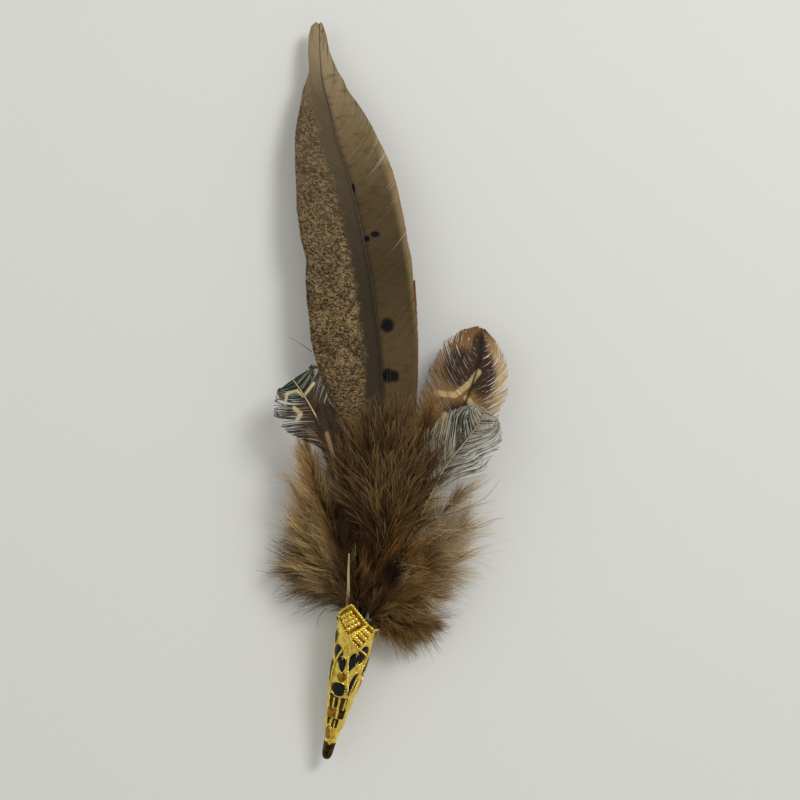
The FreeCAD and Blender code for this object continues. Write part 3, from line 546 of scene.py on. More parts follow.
def down_finish(name, root, middle, tip, painted_light_patches=()):
    """Soft barbs, dark where they are rooted and pale at their tips, with patches of painted shade and
    painted highlight.
    """
    finish = Finish(name, 0.8, specular=0.15)
    _, (along, chance, tone) = finish.attribute("barb")
    where, _ = finish.place()
    shade = finish.ramp(along, [(0.0, root), (0.45, middle), (1.0, tip)])
    level = finish.math("MULTIPLY_ADD", tone, 0.8, finish.math("MULTIPLY_ADD", chance, 0.45, 0.36))
    shade = finish.darken(shade, level)
    # each of these patches is painted light: the dark colours paint shade, the pale ones paint highlights
    for centre, radii, strength, painted_tone in painted_light_patches:
        mask = finish.math("MULTIPLY", flat_spot(finish, where, centre, radii, 0.6), strength)
        shade = finish.mix(mask, shade, finish.darken(linear(painted_tone)[:3], level))
    return finish.colour(shade)


def horn_finish(name, root, tip):
    finish = Finish(name, 0.35, coat=0.2)
    _, (along, _, _) = finish.attribute("barb")
    return finish.colour(finish.mix(along, root, tip))


# ---------------------------------------------------------------------------------------------
# Tail feather
# ---------------------------------------------------------------------------------------------
TAIL_SHAFT = [(66.7, 14.8, 14.0), (96.7, 18.2, 15.5), (119.3, 19.0, 16.0), (128.0, 18.83, 16.1),
              (137.0, 18.17, 16.2), (150.7, 16.5, 16.0), (162.0, 14.83, 15.6), (169.3, 13.5, 15.4),
              (185.3, 10.0, 14.4), (199.0, 6.17, 13.2), (206.0, 3.83, 12.5), (216.7, 1.5, 11.2),
              (225.0, -0.83, 10.0), (233.3, -1.83, 8.8), (246.7, -2.17, 7.1)]
TAIL_WIDTHS = [(93, 1, 1), (100, 5, 4), (106.7, 9, 7), (113.3, 13.5, 9.2), (120, 17.5, 10.5),
               (126.7, 20, 11.7), (133.3, 21.7, 12.3), (140, 22.7, 13), (146.7, 22.3, 13.3),
               (153.3, 22.3, 13.3), (160, 21.7, 14), (166.7, 20.3, 14.7), (173.3, 20.8, 14.5),
               (176.7, 20.5, 14.8), (183.3, 20, 15), (190, 18.5, 15.2), (196.7, 17, 15.3),
               (203.3, 14.8, 14.8), (210, 12.8, 13.2), (213.3, 11.7, 12), (216.7, 10.3, 10.7),
               (220, 8.7, 9.3), (223.3, 7.2, 7.8), (226.7, 5.2, 7.2), (230, 3.8, 5.5), (236.7, 3.9, 3.1),
               (242.0, 3.6, 2.2), (245.4, 2.7, 1.2), (246.7, 1.0, 0.4)]


def feather_from(shaft, widths, turn=0.0, camber=0.06, twist=0.0):
    """A feather whose widths are read at the stations where its shaft is known, and half way between."""
    shaft = np.array(shaft, float)
    inner = np.sort(np.unique(np.concatenate([shaft[:, 0], np.array(widths, float)[:, 0]])))
    inner = inner[(inner >= shaft[0, 0]) & (inner <= shaft[-1, 0])]
    place = spline(shaft[:, 0], shaft[:, 1:], inner)
    width = read_between(widths, inner)
    return Feather((0.0, 0.0), turn, np.column_stack([inner, place[:, 0], width, place[:, 1]]), camber,
                   twist)


def leaning(points, turn):
    """Layout points (across, ahead, height) read along a direction turned to the right of ahead."""
    points = np.array(points, float)
    angle = math.radians(turn)
    ahead = np.array([math.sin(angle), math.cos(angle)])
    right = np.array([math.cos(angle), -math.sin(angle)])
    return np.column_stack([points[:, :2] @ ahead, points[:, :2] @ right, points[:, 2]])


COARSE = 1.0 if FULL else 3.0
dark_horn = horn_finish("dark_quill", (42, 30, 18), (24, 17, 10))
pale_horn = horn_finish("pale_quill", (196, 178, 134), (170, 152, 110))
tail = feather_from(TAIL_SHAFT, TAIL_WIDTHS, camber=0.05)
COMPACT = {"rings": 8, "ragged": 0.004, "split": 0.12, "splits": 16, "shingle": 0.16, "tips": 0.8,
           "cover": 0.75}
TAIL_WEB_START, TAIL_WEB_END = 88.0, 245.9
TAIL_SPACING = 0.2 * COARSE
left_web = web("tail_web_left", tail, -1, tail_left_finish(), TAIL_WEB_START, TAIL_WEB_END, TAIL_SPACING,
               15.0, 11, curve=1.2, **COMPACT)
right_web = web("tail_web_right", tail, 1, tail_right_finish(), TAIL_WEB_START, TAIL_WEB_END,
                TAIL_SPACING, 13.0, 12, curve=1.25, **COMPACT)
tail_line = tail.shaft_points(np.linspace(TAIL_SHAFT[0][0], 246.0, 30)) + np.array([0.0, 0.0, 0.06])
tail_line = np.concatenate([[holder_axis(38.0, 0.0, -0.5)], tail_line])
tail_rod = quill("tail_quill", tail_line, (1.1, 0.7, 0.42, 0.24, 0.19, 0.15, 0.08), dark_horn)
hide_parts("tail_vane")
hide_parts("tail_shaft")

# ---------------------------------------------------------------------------------------------
# The smaller feathers of the spray
# ---------------------------------------------------------------------------------------------
def small_feather(key, shaft, widths, turn, finish, slot, spacing, reach, seed, rod, rod_finish, start=0.34,
                  **habit):
    """Both webs and the quill of a feather that points turn degrees to the right of ahead."""
    local = leaning(shaft, turn)
    first = local[0, 0] + start * (local[-1, 0] - local[0, 0])
    span = local[-1, 0] - first
    stations = [(first + share * span, left, right) for share, left, right in widths]
    made = feather_from(local, stations, turn, habit.pop("camber", 0.06), habit.pop("twist", 0.0))
    for side, word in ((-1, "left"), (1, "right")):
        one = web(f"{key}_web_{word}", made, side, finish, first, local[-1, 0] - 0.4, spacing * COARSE,
                  reach, seed + side, **habit)
    line = made.shaft_points(np.linspace(local[0, 0], local[-1, 0], 24)) + np.array([0.0, 0.0, 0.25])
    line = np.concatenate([[holder_axis(42.0, 0.02 * line[0][0], -0.2)], line])
    stick = quill(f"{key}_quill", line, rod, rod_finish)
    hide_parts(f"{key}_vane")
    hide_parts(f"{key}_shaft")
    return made


LOOSE = {"curve": 1.3, "ragged": 0.06, "split": 0.8, "splits": 8, "wander": 0.04, "cover": 0.8,
         "tips": 0.25}
small_feather("scapular",
              [(16.5, 58.4, 12.2), (24.8, 76.7, 12.6), (33.0, 95.0, 13.0), (39.5, 107.0, 13.2),
               (45.5, 117.0, 13.2), (49.0, 126.0, 13.0), (51.6, 136.0, 12.6), (52.0, 144.0, 12.3)],
              [(0, 4, 3), (0.25, 12, 9), (0.5, 15.5, 12), (0.7, 15.5, 12.5), (0.85, 13, 10), (0.95, 7, 6),
               (1, 1.5, 1)], 21.6, scapular_finish(), "scapular_barbs", 0.2, 12.0, 30,
              (0.7, 0.5, 0.35, 0.22, 0.12), dark_horn, start=0.4,
              **{**LOOSE, "ragged": 0.09, "wander": 0.05, "tips": 0.5, "cover": 0.9})
small_feather("blue_grey",
              [(19.5, 60.0, 12.0), (27.5, 74.0, 15.0), (34.3, 87.5, 20.5), (39.8, 98.3, 21.2),
               (46.5, 106.7, 21.2), (51.5, 114.0, 20.8), (53.0, 117.0, 20.4)],
              [(0, 13, 9), (0.3, 13, 11), (0.52, 13, 13), (0.6, 12, 10), (0.8, 11, 10.5), (0.95, 6, 7),
               (1, 3, 4)], 33.0,
              plain_web_finish("blue_grey_web", (78, 78, 72), (178, 174, 158), 0.5, 0.8),
              "blue_grey_barbs", 0.44, 17.0, 40, (0.5, 0.45, 0.38, 0.26, 0.12), pale_horn, start=0.47,
              cover=0.34, curve=1.05, ragged=0.07, split=1.3, splits=4, wander=0.03, depth=0.08, tips=0.5)
small_feather("green",
              [(7.6, 66.0, 13.5), (6.6, 86.0, 18.6), (4.4, 95.5, 19.8), (1.6, 106.0, 20.2),
               (-2.4, 114.0, 20.0), (-6.4, 121.0, 19.6), (-10.6, 127.0, 18.6)],
              [(0, 3, 3), (0.3, 6, 4), (0.55, 11, 6), (0.75, 13, 9), (0.9, 10, 11), (1, 6, 8)], -36.0,
              green_finish(), "green_barbs", 0.24, 8.0, 50, (0.6, 0.5, 0.4, 0.35, 0.2), pale_horn,
              start=0.5, cover=0.6, curve=1.1, ragged=0.05, split=2.6, splits=7, wander=0.03, depth=0.07,
              tips=0.6)
small_feather("dark",
              [(8.6, 68.0, 17.5), (7.9, 82.0, 20.5), (6.8, 92.0, 21.6), (4.8, 101.0, 21.8),
               (2.6, 109.0, 21.4), (-0.6, 119.0, 20.8)],
              [(0, 2, 2), (0.3, 4, 4), (0.6, 5.0, 5.4), (0.85, 4.4, 5), (1, 1.6, 2)], -12.0,
              dark_finish(), "dark_barbs", 0.26, 10.0, 60, (0.4, 0.35, 0.25, 0.15, 0.1), dark_horn,
              start=0.25, **LOOSE)
small_feather("rufous",
              [(17.5, 64.0, 8.0), (24.0, 92.0, 9.6), (26.6, 112.0, 11.0), (27.9, 132.0, 12.2),
               (28.6, 150.0, 12.8), (29.0, 160.0, 12.8)],
              [(0, 2, 2), (0.3, 4, 3.6), (0.6, 4, 3.0), (0.85, 2.6, 2.0), (1, 1, 0.8)], 5.0,
              plain_web_finish("rufous_web", (112, 66, 30), (160, 108, 58)), "rufous_barbs", 0.26, 12.0,
              70, (0.6, 0.45, 0.3, 0.2, 0.12), dark_horn, start=0.3, **LOOSE)

# golden hackles: stiff loose barbs thrown forwards from the middle of the spray
GOLDEN = hackle_finish()
HACKLE_ROUTES = {
    "hackle_left": ([(18.0, 72.0, 21.5), (14.0, 88.0, 23.5), (10.5, 103.0, 23.2)],
                    [(17.0, 78.0, 21.5), (10.5, 90.0, 22.5), (7.0, 99.0, 21.8)],
                    [(18.6, 76.0, 22.0), (16.0, 94.0, 24.0), (14.0, 110.0, 23.4)]),
    "hackle_middle": ([(19.4, 72.0, 22.0), (19.6, 92.0, 24.4), (19.6, 110.0, 24.0)],
                      [(20.0, 76.0, 22.0), (22.0, 94.0, 24.4), (24.0, 110.0, 24.0)],
                      [(19.0, 66.0, 20.5), (19.0, 80.0, 23.0), (18.0, 94.0, 24.6)]),
    "hackle_right": ([(20.4, 72.0, 21.5), (25.0, 88.0, 23.6), (28.5, 102.0, 23.2)],
                     [(21.0, 76.0, 21.5), (28.0, 88.0, 22.6), (33.0, 97.0, 21.8)],
                     [(20.0, 68.0, 20.0), (23.0, 80.0, 23.0), (25.0, 92.0, 24.4)]),
}
for order, (key, routes) in enumerate(HACKLE_ROUTES.items()):
    tuftings = plumes(f"{key}_barbs", routes, 1250, 16.0, GOLDEN, 80 + order, width=0.1, angle=(8, 46),
                      flat=0.5, curl=0.42, wave=0.45, tuft=4)
    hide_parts(f"{key}_vane")
    stem = quill(f"{key}_quill", np.concatenate([[holder_axis(42.0, 0.0, 0.5)], layout(routes[0])]),
                 (0.45, 0.4, 0.3, 0.2, 0.1), dark_horn)
    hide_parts(f"{key}_shaft")

BARE_LINE = layout([(7.6, 51.0, 16.6), (7.9, 58.0, 21.6), (8.0, 64.0, 24.4), (8.2, 70.0, 25.0)])
bare = quill("bare_cream_quill", np.concatenate([[holder_axis(40.0, -1.0, 3.6)], BARE_LINE]),
             (0.7, 0.66, 0.6, 0.45, 0.25), pale_horn)
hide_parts("bare_quill")

# ---------------------------------------------------------------------------------------------
# Down
# ---------------------------------------------------------------------------------------------
# patches over the down: the dark ones are painted shade in the middle of the down and near the holder's
# mouth, the pale ones are painted highlights
PAINTED_SHADE_AND_HIGHLIGHTS = (((-13.2, -38.0), (5.0, 24.0), 0.85, (40, 26, 14)), ((2.2, -59.5), (3.4, 5.0), 0.9, (26, 15, 8)),
         ((-4.0, -45.0), (6.0, 8.0), 0.75, (52, 30, 12)), ((-6.0, -66.0), (11.0, 7.0), 0.5, (52, 38, 22)),
         ((-30.0, -27.0), (6.0, 10.0), 0.5, (190, 150, 98)),
         ((27.0, -47.0), (9.0, 20.0), 0.5, (206, 180, 138)))
TAN = down_finish("tan_down", (78, 56, 27), (168, 131, 76), (212, 184, 134), PAINTED_SHADE_AND_HIGHLIGHTS)
GREY = down_finish("grey_down", (50, 39, 26), (108, 88, 61), (152, 131, 100), PAINTED_SHADE_AND_HIGHLIGHTS)
BROWN = down_finish("brown_down", (40, 26, 9), (102, 71, 31), (164, 130, 80), PAINTED_SHADE_AND_HIGHLIGHTS)
PALE = down_finish("pale_down", (62, 44, 20), (136, 106, 62), (220, 200, 162), PAINTED_SHADE_AND_HIGHLIGHTS)
WARM = down_finish("warm_down", (34, 21, 6), (90, 59, 22), (152, 112, 56), PAINTED_SHADE_AND_HIGHLIGHTS)

DOWN = (
    ("down_left", "tan_down", TAN, 3900, 12.5, {}, (
        [(10, 51, 12), (4, 68, 14), (-2, 84, 14), (-6, 97, 13)],
        [(9, 51, 12), (1, 66, 13), (-4, 77, 12), (-7, 86, 11)],
        [(9, 51, 10), (-1, 63, 11), (-6, 71, 10), (-9, 77, 9)],
        [(10, 52, 15), (5, 72, 18), (-1, 88, 18), (-6, 102, 17)])),
    ("down_lower_left", "grey_down", GREY, 2600, 11.0, {}, (
        [(9, 51, 9), (1, 58, 9), (-6, 61, 8), (-11, 63, 7)],
        [(9, 50, 8), (3, 54, 8), (-3, 57, 7), (-7, 59, 6)],
        [(9, 51, 10), (0, 61, 10), (-7, 68, 9), (-10, 72, 8)])),
    ("down_right", "brown_down", PALE, 3900, 14.5, {"width": 0.06, "curl": 0.6, "wave": 0.7}, (
        [(15, 51, 11), (25, 65, 12), (35, 78, 12), (43, 87, 11)],
        [(15, 51, 11), (27, 62, 12), (38, 71, 11), (44, 77, 10)],
        [(15, 50, 10), (27, 57, 11), (37, 62, 10), (42, 66, 9)],
        [(15, 52, 14), (22, 71, 16), (30, 86, 16), (35, 95, 15)])),
    ("down_lower_right", "brown_down", BROWN, 3800, 9.5, {"curl": 0.6, "wave": 0.6}, (
        [(15, 49, 14), (23, 48, 12), (29, 46, 10), (34, 45, 8)],
        [(15, 49, 10), (20, 46, 9), (24, 44, 8), (27, 42, 7)],
        [(15, 50, 14), (25, 53, 13), (32, 55, 12), (37, 57, 10)])),
    ("down_back", "brown_down", BROWN, 3800, 12.0, {}, (
        [(12, 51, 8), (12, 68, 8), (10, 82, 8), (7, 95, 8)],
        [(13, 51, 8), (20, 70, 8), (24, 88, 8), (26, 104, 8)],
        [(12, 51, 12), (17, 70, 13), (20, 84, 13), (21, 96, 13)])),
    ("down_front", "brown_down", WARM, 3900, 12.5, {"angle": (18, 50)}, (
        [(11.5, 50, 19), (11, 64, 21), (10.5, 78, 21.5), (9, 90, 21)],
        [(13.5, 49, 19), (17, 66, 21.5), (19.5, 80, 22.5), (21, 92, 22.5)],
        [(15, 48, 18), (22, 63, 19.5), (28, 76, 20), (32, 87, 19)],
        [(15.6, 47.5, 16), (24, 58, 17.5), (32, 66, 17), (37, 73, 15)])),
    ("down_middle", "brown_down", BROWN, 3800, 11.0, {"angle": (18, 50)}, (
        [(11, 49, 18), (9, 60, 19), (6, 72, 19), (4, 84, 19)],
        [(14.5, 47.5, 18.5), (20, 56, 19.5), (25, 62, 19), (29, 66, 17)],
        [(20, 84, 20), (26, 96, 19), (31, 106, 18), (34, 114, 17)])),
)
for order, (node, slot_name, finish, count, reach, habit, routes) in enumerate(DOWN):
    fluffy = plumes(f"{node}_barbs", routes, count, reach, finish, 100 + order, **habit)
    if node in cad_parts:
        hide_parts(node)

# long stray barbs that stand clear of the down
STRAYS = (
    [(-4.5, 136.0, 12.0), (-8.0, 138.5, 12.0), (-12.8, 141.3, 11.0)],
    [(-8.0, 64.0, 8.0), (-16.0, 62.0, 6.0), (-24.0, 62.6, 3.0)],
    [(-9.0, 66.0, 9.0), (-17.0, 68.5, 7.0), (-21.0, 70.5, 5.0)],
    [(-6.0, 62.0, 8.0), (-14.0, 58.5, 6.0), (-18.5, 54.0, 4.0)],
    [(0.0, 50.0, 5.0), (-3.0, 45.5, 2.0), (-3.2, 43.0, 1.0)],
    [(48.0, 76.0, 9.0), (56.0, 80.0, 8.0), (60.0, 80.5, 7.0)],
    [(46.0, 84.0, 10.0), (54.0, 88.0, 9.0), (58.0, 93.0, 8.0)],
    [(-8.0, 66.0, 8.0), (-15.0, 65.6, 6.0), (-20.5, 66.0, 3.0)],
    [(-6.0, 60.0, 7.0), (-11.0, 54.0, 5.0), (-14.0, 52.0, 3.0)])
stray_paths = np.stack([smooth_route(layout(points), 13) for points in STRAYS])
stray_share = np.broadcast_to(np.linspace(0, 1, 13)[None], stray_paths.shape[:2])
strays = grow("stray_barbs", stray_paths, UP, np.interp(stray_share, [0, 1], [0.13, 0.05]), 0.06,
              np.stack([stray_share, stray_share * 0 + 0.4, stray_share * 0 + 0.4], axis=-1), GREY)

# ---------------------------------------------------------------------------------------------
# The gilt holder
# ---------------------------------------------------------------------------------------------
CONE = np.array([(0.0, 1.2), (6.0, 1.9), (13.0, 3.2), (20.0, 4.2), (27.5, 5.3), (34.0, 5.9), (40.0, 6.35),
                 (47.5, 7.0), (56.0, 7.5)])


def cone_radius(height):
    """The cone's radius at one height, or at each of an array of heights."""
    return spline(CONE[:, 0], CONE[:, 1], height)


def on_cone(height, turn, lift):
    """Row-frame millimetres of a place on the cone: turn in degrees from the front, towards the right."""
    angle = np.radians(turn)[..., None]
    reach = (cone_radius(height) + lift)[..., None]
    outward = np.cos(angle) * FRONT + np.sin(angle) * ACROSS
    return HOLDER_POINT + height[..., None] * ALONG + reach * outward


def shaped(name, shape, mapping, material, slot_name, *nodes, smooth=True):
    """A piece from a bmesh whose points, in plain millimetres, are laid on the holder by mapping."""
    mesh = bpy.data.meshes.new(name)
    bmesh.ops.recalc_face_normals(shape, faces=shape.faces)
    shape.to_mesh(mesh)
    shape.free()
    points = np.zeros(len(mesh.vertices) * 3)
    mesh.vertices.foreach_get("co", points)
    mesh.vertices.foreach_set("co", (mapping(points.reshape(-1, 3)) * MM).astype(np.float32).ravel())
    mesh.polygons.foreach_set("use_smooth", np.full(len(mesh.polygons), smooth))
    mesh.update()
    piece = as_piece(name, mesh, material)
    if nodes:
        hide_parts(*nodes)
    return piece


def gilt_finish(name, bright, dark, roughness):
    finish = Finish(name, roughness, metallic=1.0)
    where, _ = finish.place()
    worn = finish.noise(where, 0.55, 4.0, 0.6)
    finish.feed(finish.shader.inputs["Roughness"],
                finish.math("MULTIPLY_ADD", finish.noise(where, 1.6, 3.0), 0.22, roughness - 0.1))
    finish.bump(finish.noise(where, 3.2, 3.0), 0.00006, 0.35)
    return finish.colour(finish.mix(finish.smooth(worn, 0.42, 0.66), bright, dark))


GILT = gilt_finish("gilt", (250, 226, 112), (222, 186, 74), 0.22)
BROWN_GILT = gilt_finish("brown_gilt", (178, 130, 44), (120, 84, 24), 0.3)
DARK_GILT = gilt_finish("dark_gilt", (92, 66, 28), (46, 32, 14), 0.36)
ENAMEL = clouded_finish("black_enamel", 0.22, (5, 5, 5), (14, 12, 9), 0.8, specular=0.3)

profile = bmesh.new()
SHELL_START = 5.2
outer = [(float(cone_radius(height)), height) for height in np.linspace(SHELL_START, HOLDER_LENGTH, 96)]
mouth = [(6.75, 47.9), (6.4, 47.6), (5.9, 42.0), (0.0, 40.0)]
outline = [(0.0, SHELL_START)] + outer + mouth
corners = [profile.verts.new((radius, 0.0, height)) for radius, height in outline]
ring_edges = [profile.edges.new(pair) for pair in zip(corners, corners[1:])]
bmesh.ops.spin(profile, geom=corners + ring_edges, cent=(0, 0, 0), axis=(0, 0, 1), angle=2 * math.pi,
               steps=160, use_merge=True)
bmesh.ops.remove_doubles(profile, verts=profile.verts, dist=1e-5)


def fluted(points):
    """The cone's own surface, with the stamped flutes near its point."""
    radius = np.hypot(points[:, 0], points[:, 1])
    turn = np.arctan2(points[:, 1], points[:, 0])
    height = points[:, 2]
    window = (np.interp(height, [10.6, 11.2, 14.2, 14.7], [0, 1, 1, 0])
              + np.interp(height, [17.8, 18.3, 22.0, 22.8], [0, 1, 1, 0])
              + 0.7 * np.interp(height, [0, 1, 5, 6], [0, 1, 1, 0]))
    outside = radius > cone_radius(height) - 0.05
    radius = np.where(outside, radius + 0.2 * window * np.cos(14 * turn), radius)
    angle = turn[:, None]
    return (HOLDER_POINT + height[:, None] * ALONG
            + radius[:, None] * (np.cos(angle) * FRONT + np.sin(angle) * ACROSS))


shaped("cone_shell", profile, fluted, GILT, "gilt", "holder_cone")


def surface_line(stations, count):
    """Evenly read points of a line that passes (height, turn, lift) stations on the cone."""
    route = smooth_route(stations, count)
    return on_cone(route[:, 0], route[:, 1], route[:, 2])


def rope(name, stations, radius, material, turns_per_mm=0.75, strands=2):
    """Twisted wires following (height, turn, lift) stations on the cone."""
    centre = surface_line(stations, 9)
    length = np.linalg.norm(np.diff(centre, axis=0), axis=1).sum()
    rings = max(int(length * turns_per_mm * 9), 8)
    line = surface_line(stations, rings + 1)
    heading = unit(np.gradient(line, axis=0))
    outward = unit(line - (HOLDER_POINT + ((line - HOLDER_POINT) @ ALONG)[:, None] * ALONG))
    across = np.cross(heading, outward)
    travel = np.linspace(0, length * turns_per_mm * 2 * math.pi, rings + 1)[:, None]
    wound = 0.55 * radius
    phases = np.linspace(0, 2 * math.pi, strands, endpoint=False)
    paths = np.stack([line + wound * (np.cos(travel + phase) * outward + np.sin(travel + phase) * across)
                      for phase in phases])
    piece = grow(name, paths, FRONT, 0.6 * radius, 0.6 * radius, np.zeros(paths.shape), material, sides=6)
    return piece


def seen(height, turn):
    """The height on the tilted cone of a place that is seen from above at this height."""
    front = float(cone_radius(height)) * math.cos(math.radians(turn))
    return (height + math.sin(RISE) * front) / math.cos(RISE)


def degrees_at(height, offset):
    """The turn at which a place this far right of the axis lies on the cone's front."""
    share = offset / float(cone_radius(height))
    return math.degrees(math.asin(max(-1.0, min(1.0, share))))


def station(height, offset, lift=0.25):
    """A (height, turn, lift) place of a rope, given as it is seen from above."""
    turn = degrees_at(height, offset)
    return (seen(height, turn), turn, lift)


CROSSING = station(41.5, -1.3)
rope_crossing = rope("rope_left", [station(46.0, 2.6), CROSSING, station(35.0, -3.9), station(29.0, -4.3),
                                   station(23.1, -3.5)], 0.42, GILT)
rope("rope_right", [station(45.0, -3.2), CROSSING, station(39.5, 1.9), station(37.2, 5.2)], 0.42, GILT)
rope("rope_rib", [CROSSING, station(36.0, -0.6), station(30.0, 0.5), station(24.3, 1.7)], 0.36, GILT)
rope("rope_lower", [station(38.0, 5.6), station(32.0, 4.2), station(27.0, 3.0), station(22.8, 2.4)], 0.34,
     GILT)
rope("rope_back", [(46.0, 130.0, 0.25), (36.0, 170.0, 0.25), (26.0, 210.0, 0.25)], 0.4, GILT)
rope("mouth_rim", [(47.4, turn, 0.1) for turn in range(0, 361, 30)], 0.36, GILT)
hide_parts("rope_wires")


def unit_ball(around, up_and_down):
    ball = bmesh.new()
    bmesh.ops.create_uvsphere(ball, u_segments=around, v_segments=up_and_down, radius=1)
    return ball


def gridded_block(cuts):
    """A block of half size 1 whose wide faces are cut into a grid."""
    block = bmesh.new()
    bmesh.ops.create_cube(block, size=2)
    level = [edge for edge in block.edges if abs(edge.verts[0].co.z - edge.verts[1].co.z) < 1]
    bmesh.ops.subdivide_edges(block, edges=level, cuts=cuts, use_grid_fill=True)
    return block


def already_laid(points):
    """The mapping of a shape that is made in its place."""
    return points


def teardrop(height, turn, half_length, half_width, lean, taper):
    """Mapping of a unit ball to a domed drop on the cone; taper narrows the end nearer the point."""
    height = seen(height, turn)

    def lay(points):
        x, y, z = points.T
        narrow = y * (1 + taper * x)
        along = x * half_length
        aside = narrow * half_width
        angle = math.radians(lean)
        rise = along * math.cos(angle) - aside * math.sin(angle)
        shift = along * math.sin(angle) + aside * math.cos(angle)
        place = height + rise
        return on_cone(place, turn + np.degrees(shift / cone_radius(place)), 0.05 + 0.28 * z)
    return lay


LEAVES = ((36.2, -41.0, 3.2, 2.0, -16, 0.25), (37.5, 36.0, 3.4, 1.9, 16, 0.25),
          (33.0, -20.0, 2.7, 1.35, -12, 0.45), (34.6, 12.0, 3.3, 1.45, 10, 0.5),
          (29.6, -62.0, 4.2, 1.6, -4, 0.2), (34.0, 74.0, 3.6, 1.9, 8, 0.2),
          (24.6, -15.0, 2.4, 2.7, 4, 0.1), (27.2, 33.0, 4.0, 1.3, 6, 0.1), (27.0, 96.0, 3.0, 1.4, 0, 0.2),
          (27.0, -104.0, 3.0, 1.4, 0, 0.2), (27.0, 128.0, 3.0, 1.2, 0, 0.2),
          (27.0, -138.0, 3.0, 1.2, 0, 0.2), (41.5, -66.0, 2.4, 1.3, 0, 0.2))
RIM_ANGLES = np.linspace(0, 2 * math.pi, 41)
RIM_CIRCLE = np.stack([1.05 * np.cos(RIM_ANGLES), 1.05 * np.sin(RIM_ANGLES), np.full(41, 0.25)], axis=-1)
for number, leaf in enumerate(LEAVES):
    replaced = ["enamel_fields"] if number == 0 else []
    shaped(f"enamel_{number}", unit_ball(28, 12), teardrop(*leaf), ENAMEL, "black_enamel", *replaced)
    edge = teardrop(*leaf)(RIM_CIRCLE)
    rim = grow(f"enamel_rim_{number}", edge[None], FRONT, 0.16, 0.16, np.zeros((1, 41, 3)), GILT, sides=6)
shaped("brown_block", unit_ball(24, 10), teardrop(28.9, -13.0, 1.7, 1.6, 0, 0.1), BROWN_GILT, "gilt")
TIP_LENGTH = 6.1


def tip_shape(points):
    """The blunt two-lobed point: a fluted thimble with a groove down its front."""
    turn = np.arctan2(points[:, 1], points[:, 0])
    height = TIP_LENGTH * (points[:, 2] + 1) / 2
    narrowing = np.interp(height, [0, 0.5, 2.0, TIP_LENGTH], [0.7, 1.3, 1.72, 2.05])
    radius = narrowing * np.hypot(points[:, 0], points[:, 1])
    radius = radius * (1 - 0.34 * np.exp(-(turn / 0.2) ** 2)) + 0.05 * np.cos(18 * turn)
    centre = HOLDER_POINT + (height - 0.2)[:, None] * ALONG
    return centre + radius[:, None] * (np.cos(turn)[:, None] * FRONT + np.sin(turn)[:, None] * ACROSS)


thimble = bmesh.new()
bmesh.ops.create_cone(thimble, cap_ends=True, segments=144, radius1=1, radius2=1, depth=2)
upright = [edge for edge in thimble.edges if abs(edge.verts[0].co.z - edge.verts[1].co.z) > 1]
bmesh.ops.subdivide_edges(thimble, edges=upright, cuts=16)
shaped("tip_thimble", thimble, tip_shape, DARK_GILT, "dark_gilt", "tip_cap")


def tile(corners, lift, thick):
    """Mapping of a unit block to a curved plate between four (height, turn) corners."""
    corners = np.array([(seen(height, turn), turn) for height, turn in corners])

    def lay(points):
        u, v = (points[:, 0] + 1) / 2, (points[:, 1] + 1) / 2
        weights = np.stack([(1 - u) * (1 - v), u * (1 - v), u * v, (1 - u) * v], axis=-1)
        place = weights @ corners
        return on_cone(place[:, 0], place[:, 1], lift + thick * (points[:, 2] + 1) / 2)
    return lay


# stamped panels down the front: flutes, a plain block, flutes with a slit, and the bracket above the point
PANELS = ((22.6, 18.2, -52.0, -8.0, "dark"), (22.0, 18.0, 2.0, 34.0, "dark"),
          (18.0, 14.6, -58.0, -4.0, "brown"), (18.0, 14.6, 8.0, 42.0, "dark"),
          (14.4, 11.2, -50.0, -22.0, "dark"), (14.4, 11.2, -14.0, 18.0, "dark"),
          (11.0, 7.0, -62.0, -6.0, "brown"))
PANEL_GILT = {"brown": BROWN_GILT, "dark": DARK_GILT}
for number, (top, bottom, left, right, tone) in enumerate(PANELS):
    corners = ((top, left), (top, right), (bottom, right), (bottom, left))
    shaped(f"panel_{number}", gridded_block(9), tile(corners, -0.12, 0.24), PANEL_GILT[tone], "gilt")
rope("bracket_left", [(10.9, -50.0, 0.2), (9.2, -8.0, 0.2), (6.6, -2.0, 0.2)], 0.3, GILT)
rope("bracket_right", [(9.6, 30.0, 0.2), (8.0, 22.0, 0.2), (6.4, 8.0, 0.2)], 0.3, GILT)

CRESTS = (((53.7, -25.0), (48.2, 22.0), (42.8, -19.0), (49.2, -62.0)),
          ((48.2, 22.5), (46.4, 48.6), (39.5, 18.5), (42.4, -13.0)))
EDGE_SHARES = np.array([[0.0], [0.33], [0.67], [1.0]])
grain_sizes = np.random.default_rng(7)
for number, crest in enumerate(CRESTS):
    plate = shaped(f"crest_plate_{number}", gridded_block(11), tile(crest, 0.1, 0.5), BROWN_GILT, "gilt")
    loop = list(crest) + [crest[0]]
    for side, (start, stop) in enumerate(zip(loop, loop[1:])):
        reads = np.array(start) + EDGE_SHARES * (np.array(stop) - np.array(start))
        line = [(seen(height, turn), turn, 0.75) for height, turn in reads]
        cord = rope(f"crest_rope_{number}_{side}", line, 0.52, GILT, turns_per_mm=0.5)
        if number + side == 0:
            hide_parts("crest_rope_border")
    steps = np.linspace(-0.5, 0.5, 4 - number)
    grains = bmesh.new()
    for spot in tile(crest, 0.6, 0.6)(np.array([(u, v, 0.0) for u in steps for v in steps])):
        size = 0.74 + 0.2 * grain_sizes.random()
        bmesh.ops.create_icosphere(grains, subdivisions=3, radius=size,
                                   matrix=Matrix.Translation(Vector(spot)))
    beads = shaped(f"crest_grains_{number}", grains, already_laid, GILT, "gilt")
    if number == 0:
        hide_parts("crest_plate")
        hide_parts("crest_granules")
dots = bmesh.new()
